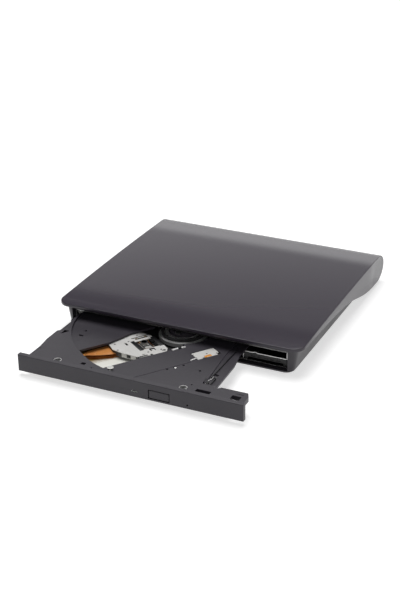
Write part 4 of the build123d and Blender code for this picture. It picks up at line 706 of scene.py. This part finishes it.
# %% Finishes of single pieces
dull_steel = rolled_metal("dull_steel", (0.13, 0.13, 0.13), rough=(0.34, 0.5), edge_wear_and_painted_light=5.0)
dark_steel = rolled_metal("dark_steel", (0.05, 0.05, 0.052), rough=(0.3, 0.45), edge_wear_and_painted_light=6.0)
dark_casting = rolled_metal("dark_casting", (0.10, 0.10, 0.10), rough=(0.4, 0.55), edge_wear_and_painted_light=4.0, metallic=0.7)
glass_filled = moulded("glass_filled", (0.45, 0.44, 0.42), rough=(0.35, 0.5), edge_wear_and_painted_light=1.1, spread=0.06)
cream_lacquer = rolled_metal("cream_lacquer", (0.93, 0.92, 0.85), rough=(0.35, 0.5), metallic=0.0, edge_wear_and_painted_light=1.0)
paint_amber_shadow(cream_lacquer)
# The button's edge is painted darker: painted shade of the thin gap round it.
button_painted_gap_shade = moulded("button_painted_gap_shade", (0.042, 0.038, 0.047), rough=(0.40, 0.50), depth=0.015, edge_wear_and_painted_light=0.05, rim=0.0009)
OWN_FINISH = {
    "tray_bottom_cover": cream_lacquer,
    "eject_button": button_painted_gap_shade,
    "pickup_carriage": dark_casting,
    "disc_clamp": dark_casting,
    "tray_screws": dark_casting,
    "lens_magnets": dark_steel,
    "left_rail": dark_steel,
    "right_rail": dark_steel,
    "drive_chassis": dull_steel,
    "drive_top_cover": dull_steel,
    "lens_holder": glass_filled,
    "turntable_ring": FINISHES["rubber"],
    "hub_cone": FINISHES["shell_plastic"],
}
for entry in frame["record"]["subparts"]:
    node = nodes[entry["node"]]
    node.data.materials.clear()
    node.data.materials.append(OWN_FINISH.get(entry["node"], FINISHES[entry["material_slot"]]))
print("pieces with a finish of their own:", len(OWN_FINISH))

# %% [markdown]
# Finishes for the fine pieces: enamelled winding wire, springs, gold-plated wires, sheared
# steel edges and black resin. They use the same layouts as the large parts, with finer marks.

# %% Finishes for the fine pieces
winding_wire = rolled_metal("winding_wire", (0.62, 0.26, 0.10), rough=(0.22, 0.34), along=200.0, across=4000.0)
spring_wire = rolled_metal("spring_wire", (0.72, 0.72, 0.70), rough=(0.18, 0.30), along=200.0, across=4000.0)
gold_plate = rolled_metal("gold_plate", (0.85, 0.58, 0.24), rough=(0.22, 0.36), along=300.0, across=3000.0)
sheared_edge = rolled_metal("sheared_edge", (0.92, 0.91, 0.90), rough=(0.30, 0.45), metallic=0.35)
black_frame = moulded("black_frame", (0.010, 0.010, 0.011), rough=(0.30, 0.45), edge_wear_and_painted_light=3.0)
chip_resin = moulded("chip_resin", (0.016, 0.016, 0.017), rough=(0.45, 0.6), grain=4000.0, edge_wear_and_painted_light=2.0)
amber_film = film("amber_film", (0.78, 0.33, 0.06), (0.50, 0.16, 0.02))
print("fine finishes ready")

# %% [markdown]
# Builders for the fine pieces. All of them work in millimetres and add to one mesh, so a row
# of wires or a set of windings becomes a single piece. The first one turns such a mesh into
# a piece that rides on one of the model's bodies.

# %% Make a mesh into a piece


def new_piece(name, bm, finish, body, angle=35):
    """Make a millimetre mesh into a piece with a finish that rides on a body, if one is given."""
    bmesh.ops.scale(bm, vec=(MM, MM, MM), verts=bm.verts)
    bmesh.ops.recalc_face_normals(bm, faces=bm.faces)
    mesh = bpy.data.meshes.new(name)
    bm.to_mesh(mesh)
    bm.free()
    mesh.materials.append(finish)
    piece = bpy.data.objects.new(name, mesh)
    scene.collection.objects.link(piece)
    mesh.polygons.foreach_set("use_smooth", [True] * len(mesh.polygons))
    split = piece.modifiers.new("sharp_edges", "EDGE_SPLIT")
    split.split_angle = math.radians(angle)
    split.use_edge_sharp = False
    if body:
        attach(piece, body)
    return piece


def add_box(bm, centre, size, turn=0.0, bevel=0.0):
    """A box, turned about Z, with its edges bevelled if bevel is given."""
    where = Matrix.Translation(centre) @ Matrix.Rotation(turn, 4, "Z") @ Matrix.Diagonal((*size, 1))
    corners = bmesh.ops.create_cube(bm, size=1.0, matrix=where)["verts"]
    if bevel:
        edges = list({edge for corner in corners for edge in corner.link_edges})
        bmesh.ops.bevel(bm, geom=edges, offset=bevel, segments=2, profile=0.5, affect="EDGES")


print("piece builder ready")

# %% [markdown]
# Wires, springs and flexible strips are a section carried along a path. A curve with a bevel
# would do the same, but it turns its section by its own rules. Here the section starts out
# level and is turned as little as possible from point to point.

# %% Carry a section along a path


def round_section(radius, sides=8):
    return [(radius * math.cos(2 * math.pi * k / sides), radius * math.sin(2 * math.pi * k / sides))
            for k in range(sides)]


def flat_section(width, thick):
    return [(-width / 2, -thick / 2), (width / 2, -thick / 2), (width / 2, thick / 2), (-width / 2, thick / 2)]


def join_rings(bm, rings, closed=False):
    """Fill the wall between each ring of corners and the next, and cap the ends."""
    size = len(rings[0])
    for i in range(len(rings) if closed else len(rings) - 1):
        a, b = rings[i], rings[(i + 1) % len(rings)]
        for k in range(size):
            bm.faces.new((a[k], a[(k + 1) % size], b[(k + 1) % size], b[k]))
    if not closed:
        bm.faces.new(rings[0][::-1])
        bm.faces.new(rings[-1])


def add_sweep(bm, points, section, closed=False):
    """Carry a section along a path. Its first axis starts out level with the table."""
    points = [Vector(p) for p in points]
    count = len(points)
    ways = []
    for i in range(count):
        before = points[i - 1] if closed or i else points[i]
        after = points[(i + 1) % count] if closed or i < count - 1 else points[i]
        ways.append((after - before).normalized())
    side = ways[0].cross(Vector((0, 0, 1)))
    if side.length < 0.01:
        side = Vector((1, 0, 0))
    side.normalize()
    rings = []
    for i, point in enumerate(points):
        if i:
            side = ways[i - 1].rotation_difference(ways[i]) @ side
            side = (side - ways[i] * side.dot(ways[i])).normalized()
        other = side.cross(ways[i])
        rings.append([bm.verts.new(point + side * u + other * v) for u, v in section])
    join_rings(bm, rings, closed)


print("sweep ready")

# %% [markdown]
# A winding or a spring is a helix, which is only a path for the sweep. Heads and bosses are
# profiles turned about an upright axis.

# %% Helices and turned shapes


def coil_path(start, end, radius, turns, per_turn=14, squash=1.0):
    """A helix round the line from start to end. squash narrows it along its second axis."""
    start, end = Vector(start), Vector(end)
    way = (end - start).normalized()
    side = way.cross(Vector((0, 0, 1)))
    side = Vector((1, 0, 0)) if side.length < 0.01 else side.normalized()
    other = way.cross(side)
    steps = int(turns * per_turn)
    path = []
    for k in range(steps + 1):
        angle = 2 * math.pi * k / per_turn
        path.append(start.lerp(end, k / steps) + side * radius * math.cos(angle)
                    + other * radius * squash * math.sin(angle))
    return path


def add_turned(bm, centre, profile, sides=40):
    """A profile of (radius, height) points turned about the vertical through centre."""
    rings = []
    for radius, height in profile:
        rings.append([bm.verts.new((centre[0] + radius * math.cos(2 * math.pi * k / sides),
                                    centre[1] + radius * math.sin(2 * math.pi * k / sides),
                                    centre[2] + height)) for k in range(sides)])
    join_rings(bm, rings)


def on_sled(along, across, z):
    """A place in millimetres, from millimetres along and across the sled and a height."""
    x, y = sled(along, across)
    return Vector((x / MM, y / MM, z))


def add_sled_box(bm, a0, a1, b0, b1, z0, z1, bevel=0.0):
    """A box between two places along the sled, two across it and two heights."""
    add_box(bm, on_sled((a0 + a1) / 2, (b0 + b1) / 2, (z0 + z1) / 2), (a1 - a0, b1 - b0, z1 - z0), SLED_TURN, bevel)


print("shape builders ready")

# %% [markdown]
# The pickup shows the most. Its lens hangs on four wires in an open well between two
# magnets. A black frame borders the well, and black details break up the light sheet: a
# mirror cover and a moulded rib. Separate low blocks with a fine bevel are enough, since
# the real ones are moulded that way. Each row gives two places along the sled from the lens,
# two across it, how far the block stands into the sheet and above it, and its bevel.

# %% Black frame and ribs of the pickup
LENS_A = 24.0
PICKUP_TOP = 7.06
FRAME_BLOCKS = [
    (3.9, 6.1, -4.6, 7.4, 0.05, 0.09, 0.04),
    (-8.3, -5.6, -4.4, 7.4, 0.05, 0.09, 0.04),
    (-6.4, 3.9, -7.9, -7.3, 0.05, 0.09, 0.0),
    (-5.0, 2.4, -6.3, -5.3, 0.05, 0.10, 0.04),
    (-1.7, 1.2, 7.5, 8.9, 0.05, 0.07, 0.0),
    (4.8, 10.6, 12.9, 13.9, 0.4, 0.08, 0.05),
    (-6.2, -4.9, 12.2, 13.4, 0.05, 0.07, 0.0),
]
detail = bmesh.new()
for a0, a1, b0, b1, sunk, proud, bevel in FRAME_BLOCKS:
    add_sled_box(detail, LENS_A + a0, LENS_A + a1, b0, b1, PICKUP_TOP - sunk, PICKUP_TOP + proud, bevel)
new_piece("actuator_frame", detail, black_frame, "pickup")
print("frame blocks:", len(FRAME_BLOCKS))

# %% [markdown]
# Small dark screws hold and level the pickup's parts. A turned profile with a sunk top is
# enough at their size.

# %% Adjusting screws
SCREW_PLACES = ((-0.6, -9.9), (16.0, 0.6), (6.6, -5.6), (-4.4, 11.2), (3.0, 10.6))
SCREW_PROFILE = [(0.5, 0.0), (0.5, 0.05), (0.36, 0.07), (0.30, 0.03)]
detail = bmesh.new()
for a, b in SCREW_PLACES:
    add_turned(detail, on_sled(LENS_A + a, b, PICKUP_TOP - 0.03), SCREW_PROFILE, 16)
new_piece("adjusting_screws", detail, chip_resin, "pickup")
print("adjusting screws:", len(SCREW_PLACES))

# %% [markdown]
# Four thin gold-plated wires carry the lens and its current. One end is soldered to a pad on
# the pickup, the other to the lens holder.

# %% Suspension wires
detail = bmesh.new()
for a in (-4.2, -3.4, 1.0, 1.8):
    add_sweep(detail, [on_sled(LENS_A + a, -6.0, PICKUP_TOP + 0.02), on_sled(LENS_A + a * 0.9, -3.4, 6.75),
                       on_sled(LENS_A + a * 0.8, -1.6, 6.55)], round_section(0.10, 6))
    add_sled_box(detail, LENS_A + a - 0.3, LENS_A + a + 0.3, -6.9, -6.5, PICKUP_TOP - 0.02, PICKUP_TOP + 0.1)
wires = new_piece("suspension_wires", detail, gold_plate, None)
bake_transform(wires)

# %% [markdown]
# The focus coil is wound round the lens holder: a few square turns of enamelled wire, one
# above the other. Closed turns look the same as a winding from outside.

# %% Focus coil
COIL_TURNS = 5
COIL_BOTTOM, COIL_PITCH = 6.02, 0.14
COIL_CORNERS = [(-3.15, -2.3), (2.95, -2.3), (2.95, 5.9), (-3.15, 5.9)]
detail = bmesh.new()
for k in range(COIL_TURNS):
    z = COIL_BOTTOM + COIL_PITCH * k
    add_sweep(detail, [on_sled(LENS_A + a, b, z) for a, b in COIL_CORNERS], round_section(0.11, 6), closed=True)
new_piece("focus_coil", detail, winding_wire, "focus_lens")
print("focus coil turns:", COIL_TURNS)

# %% [markdown]
# The lens holder has black ribs beside the lens and a thin black rim round the glass. They
# stop stray light, and they stand out against the pale holder.

# %% Ribs and rim of the lens holder
HOLDER_RIBS = [(-2.8, -2.0, -1.6, 5.2, 6.62), (1.7, 2.5, -1.6, 5.2, 6.62), (-1.9, 1.6, 2.4, 3.3, 6.66)]
detail = bmesh.new()
for a0, a1, b0, b1, top in HOLDER_RIBS:
    add_sled_box(detail, LENS_A + a0, LENS_A + a1, b0, b1, 6.4, top, bevel=0.04)
add_turned(detail, on_sled(LENS_A, 0, 7.8), [(2.0, 0.0), (2.0, 0.12), (1.62, 0.12), (1.62, 0.0)], 28)
new_piece("holder_marks", detail, black_frame, "focus_lens")
print("lens holder ribs:", len(HOLDER_RIBS))

# %% [markdown]
# The laser sits behind a dark square window in its light block, on a face that is turned
# away from the sled's direction. A thin bevelled plate is the window, and a smaller one in
# front of it is the laser's metal cap.

# %% Laser window
WINDOW_A, WINDOW_B, WINDOW_Z = LENS_A + 13.3, 8.1, 5.85
window_turn = SLED_TURN + math.atan2(0.528, 0.85)
detail = bmesh.new()
add_box(detail, on_sled(WINDOW_A, WINDOW_B, WINDOW_Z), (0.2, 2.5, 1.9), window_turn, bevel=0.05)
new_piece("laser_window", detail, black_frame, "pickup")
detail = bmesh.new()
add_box(detail, on_sled(WINDOW_A + 0.09, WINDOW_B + 0.06, WINDOW_Z), (0.12, 0.9, 0.9), window_turn, bevel=0.03)
new_piece("laser_cap", detail, dark_steel, "pickup")
print("laser window turned", round(math.degrees(window_turn - SLED_TURN), 1), "degrees from the sled")

# %% [markdown]
# The spindle motor's coils sit on nine poles under the rotor. Each one is two layers of a
# short helix of enamelled wire. The rotor covers them, but they show from below and with
# the rotor lifted.

# %% Spindle windings
POLES = 9
POLE_START, POLE_END = 4.4, 9.3
WINDING_TURNS = 18
detail = bmesh.new()
for k in range(POLES):
    angle = 2 * math.pi * k / POLES
    spoke = Vector((math.cos(angle), math.sin(angle), 0))
    centre = Vector((HUB_X / MM, HUB_Y / MM, 5.0))
    for radius in (1.02, 1.2):
        add_sweep(detail, coil_path(centre + spoke * POLE_START, centre + spoke * POLE_END, radius, WINDING_TURNS,
                                    per_turn=8, squash=0.62), round_section(0.11, 4))
new_piece("spindle_windings", detail, winding_wire, "tray_unit")
print("poles wound:", POLES)

# %% [markdown]
# The sled motor shows through the tray's window, with an amber flexible board folding over
# its edge and a spring finger at its end. Beside it the guide rod's ends lie under bright
# clips with a dark collar between them.

# %% Sled motor and rod ends
detail = bmesh.new()
motor_strip = [(31.2, 8.22), (32.3, 8.25), (33.0, 8.14), (33.45, 7.7), (33.5, 6.9)]
add_sweep(detail, [on_sled(2.9, b, z) for b, z in motor_strip], flat_section(3.9, 0.12))
new_piece("motor_flex", detail, amber_film, "tray_unit")
detail = bmesh.new()
add_sweep(detail, [on_sled(8.9, 31.7, 8.22), on_sled(10.2, 32.0, 8.55), on_sled(13.6, 32.6, 8.55)],
          flat_section(0.8, 0.15))
add_sweep(detail, [on_sled(8.6, 17.9, 8.5), on_sled(11.2, 17.8, 8.62)], round_section(0.55, 10))
add_sweep(detail, [on_sled(12.7, 17.6, 8.55), on_sled(16.4, 17.6, 8.45)], round_section(0.6, 10))
new_piece("spring_fingers", detail, sheared_edge, "tray_unit")
detail = bmesh.new()
add_sweep(detail, [on_sled(11.0, 17.7, 8.5), on_sled(12.9, 17.7, 8.5)], round_section(0.7, 10))
for a, b in ((9.2, 27.4), (9.2, 31.0), (2.2, 29.6), (-2.6, 31.6)):
    add_turned(detail, on_sled(a, b, 8.14), [(0.42, 0.0), (0.42, 0.06), (0.2, 0.08)], 14)
new_piece("rod_collar", detail, black_frame, "tray_unit")
print("sled motor details ready")

# %% [markdown]
# The lead screw gets a real helical thread here: its mechanical model has plain rings, and a
# thread makes its turning visible. Rings of points whose radius rises where the thread
# passes give it in one mesh, so it needs no sweep with a sharp twist.

# %% Lead screw
THREAD_PITCH = 3.0
CORE_RADIUS, THREAD_HEIGHT = 0.75, 0.17
SCREW_SIDES = 20
RING_STEP = 0.2
PLAIN_START, PLAIN_END, RUN_OUT = 2.0, 1.2, 0.4
screw_start, screw_end = on_sled(9.6, 28, 5.5), on_sled(53.0, 28, 5.5)
screw_way = (screw_end - screw_start).normalized()
screw_side = screw_way.cross(Vector((0, 0, 1)))
screw_length = (screw_end - screw_start).length

detail = bmesh.new()
rings = []
for i in range(int(screw_length / RING_STEP) + 1):
    along = min(i * RING_STEP, screw_length)
    threaded = min(1.0, max(0.0, (along - PLAIN_START) / RUN_OUT),
                   max(0.0, (screw_length - PLAIN_END - along) / RUN_OUT))
    ring = []
    for k in range(SCREW_SIDES):
        angle = 2 * math.pi * k / SCREW_SIDES
        phase = (along / THREAD_PITCH * 2 - angle / math.pi) % 2 - 1  # 0 on the crest, 1 in the valley
        ridge = max(0.0, 1 - abs(phase) * 2.2)
        radius = CORE_RADIUS + THREAD_HEIGHT * threaded * min(1.0, ridge * 1.8)
        ring.append(detail.verts.new(screw_start + screw_way * along + screw_side * radius * math.cos(angle)
                                     + Vector((0, 0, 1)) * radius * math.sin(angle)))
    rings.append(ring)
join_rings(detail, rings)
thread = new_piece("lead_screw_thread", detail, FINISHES["rod_steel"], "sled_screw", angle=50)
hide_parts("lead_screw")
print("rings in the lead screw:", len(rings))

# %% [markdown]
# The latch: a torsion spring holds the hook shut, the solenoid's coil pulls the plunger, and
# a light spring sends it back. The plunger's spring is fixed at one end to the coil's frame
# and at the other to the plunger.

# %% Latch springs and coil
HOOK_X, HOOK_Y = 25.2, -97.7
PLUNGER_Y, PLUNGER_Z = -107.7, 4.8
detail = bmesh.new()
spring = coil_path((HOOK_X, HOOK_Y, 5.4), (HOOK_X, HOOK_Y, 6.9), 1.25, 5)
add_sweep(detail, [(HOOK_X - 5.5, HOOK_Y + 0.8, 5.3)] + spring + [(HOOK_X + 3.5, HOOK_Y + 3.0, 7.0)],
          round_section(0.13, 6))
new_piece("latch_spring", detail, spring_wire, "tray_unit")
detail = bmesh.new()
add_sweep(detail, coil_path((13.5, PLUNGER_Y, PLUNGER_Z), (19.8, PLUNGER_Y, PLUNGER_Z), 1.42, 30, per_turn=12),
          round_section(0.11, 5))
new_piece("solenoid_coil", detail, winding_wire, "tray_unit")
detail = bmesh.new()
add_sweep(detail, coil_path((20.7, PLUNGER_Y, PLUNGER_Z), (24.2, PLUNGER_Y, PLUNGER_Z), 0.95, 7, per_turn=12),
          round_section(0.09, 5))
plunger_spring = new_piece("plunger_spring", detail, spring_wire, None)
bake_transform(plunger_spring)
print("latch springs ready")

# %% [markdown]
# Small bright things on the tray: the thin rings round its two screws, a locating pin, and
# the wire that holds the catch on the narrow ledge. A ring is a round section carried along
# a circle.

# %% Rings, pin and catch wire
RING_RADIUS, RING_STEPS = 1.95, 36
detail = bmesh.new()
for x, y in ((29.2, -119.3), (-42.8, -119.6)):
    turns = [2 * math.pi * t / RING_STEPS for t in range(RING_STEPS)]
    circle = [(x + RING_RADIUS * math.cos(t), y + RING_RADIUS * math.sin(t), 10.0) for t in turns]
    add_sweep(detail, circle, round_section(0.14, 6), closed=True)
add_turned(detail, (15.4, -99.9, 8.4), [(0.55, 0.0), (0.55, 0.22), (0.35, 0.32)], 14)
add_sweep(detail, [(36.5, -109.0, 8.55), (36.5, -105.6, 8.6), (37.5, -103.4, 8.7), (37.4, -100.6, 8.6)],
          round_section(0.14, 6))
new_piece("bright_details", detail, sheared_edge, "tray_unit")
print("bright details ready")

# %% [markdown]
# The catch sits among low black ribs, and one long rib runs back along the ledge. Nearby the
# light head of a plastic rivet shows in the tray's deck.

# %% Catch ribs and rivet
LEDGE_TOP = 8.42
detail = bmesh.new()
add_sweep(detail, [(34.7, -111.4, LEDGE_TOP), (34.7, -103.6, LEDGE_TOP)], flat_section(0.5, 0.5))
add_sweep(detail, [(38.9, -110.6, LEDGE_TOP), (38.9, -101.6, LEDGE_TOP), (36.2, -101.6, LEDGE_TOP)],
          flat_section(0.5, 0.5))
add_box(detail, (36.9, -107.4, 8.5), (1.2, 2.6, 0.5), bevel=0.08)
add_sweep(detail, [(36.4, -99.4, LEDGE_TOP), (36.4, -68.0, LEDGE_TOP)], flat_section(0.45, 0.4))
new_piece("catch_ribs", detail, black_frame, "tray_unit")
detail = bmesh.new()
add_turned(detail, (-14.0, -115.6, 9.86), [(1.75, 0.0), (1.75, 0.12), (1.5, 0.24), (0.8, 0.3)], 28)
new_piece("rivet_head", detail, FINISHES["white_plastic"], "tray_unit")
print("tray details ready")

# %% [markdown]
# The sheet over the drive's circuit board is bare pressed steel, so its sheared edges shine
# at the mouth of the bay: the front edge with a small bump, the end of the wall below it on
# the left, and the upright on the right. Thin near-white strips on those edges show them
# without changing the sheet itself: their colour is partly bare steel and partly a painted
# highlight.

# %% Bright sheared edges in the bay
PLATE_TOP = 6.8
STRIP_OUT = 0.08
LINE_Z, BUMP_Z = PLATE_TOP - 0.2, PLATE_TOP + 0.2
shield_low, shield_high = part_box("board_shield")
cover_low, cover_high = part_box("drive_top_cover")
edge_x0, edge_x1 = shield_low[0] / MM, shield_high[0] / MM
edge_y = shield_low[1] / MM - STRIP_OUT
front_line = [(edge_x0, LINE_Z), (edge_x0 + 5.9, LINE_Z), (edge_x0 + 6.3, BUMP_Z), (edge_x0 + 7.7, BUMP_Z),
              (edge_x0 + 8.1, LINE_Z), (edge_x1, LINE_Z)]
detail = bmesh.new()
add_sweep(detail, [(x, edge_y, z) for x, z in front_line], flat_section(0.16, 0.42))
add_box(detail, (edge_x0 + 0.2, edge_y, PLATE_TOP - 2.2), (0.45, 0.2, 4.0), bevel=0.04)
add_box(detail, (edge_x1 - 0.3, edge_y, PLATE_TOP + 1.8), (0.45, 0.2, 3.8), bevel=0.04)
add_box(detail, (-60.8, cover_low[1] / MM - STRIP_OUT, cover_high[2] / MM - 0.2), (4.4, 0.2, 0.42), bevel=0.04)
new_piece("sheared_lips", detail, sheared_edge, "housing")
print("bay edge", round(edge_x1 - edge_x0, 1), "mm long")

# %% Update the scene
bpy.context.view_layer.update()
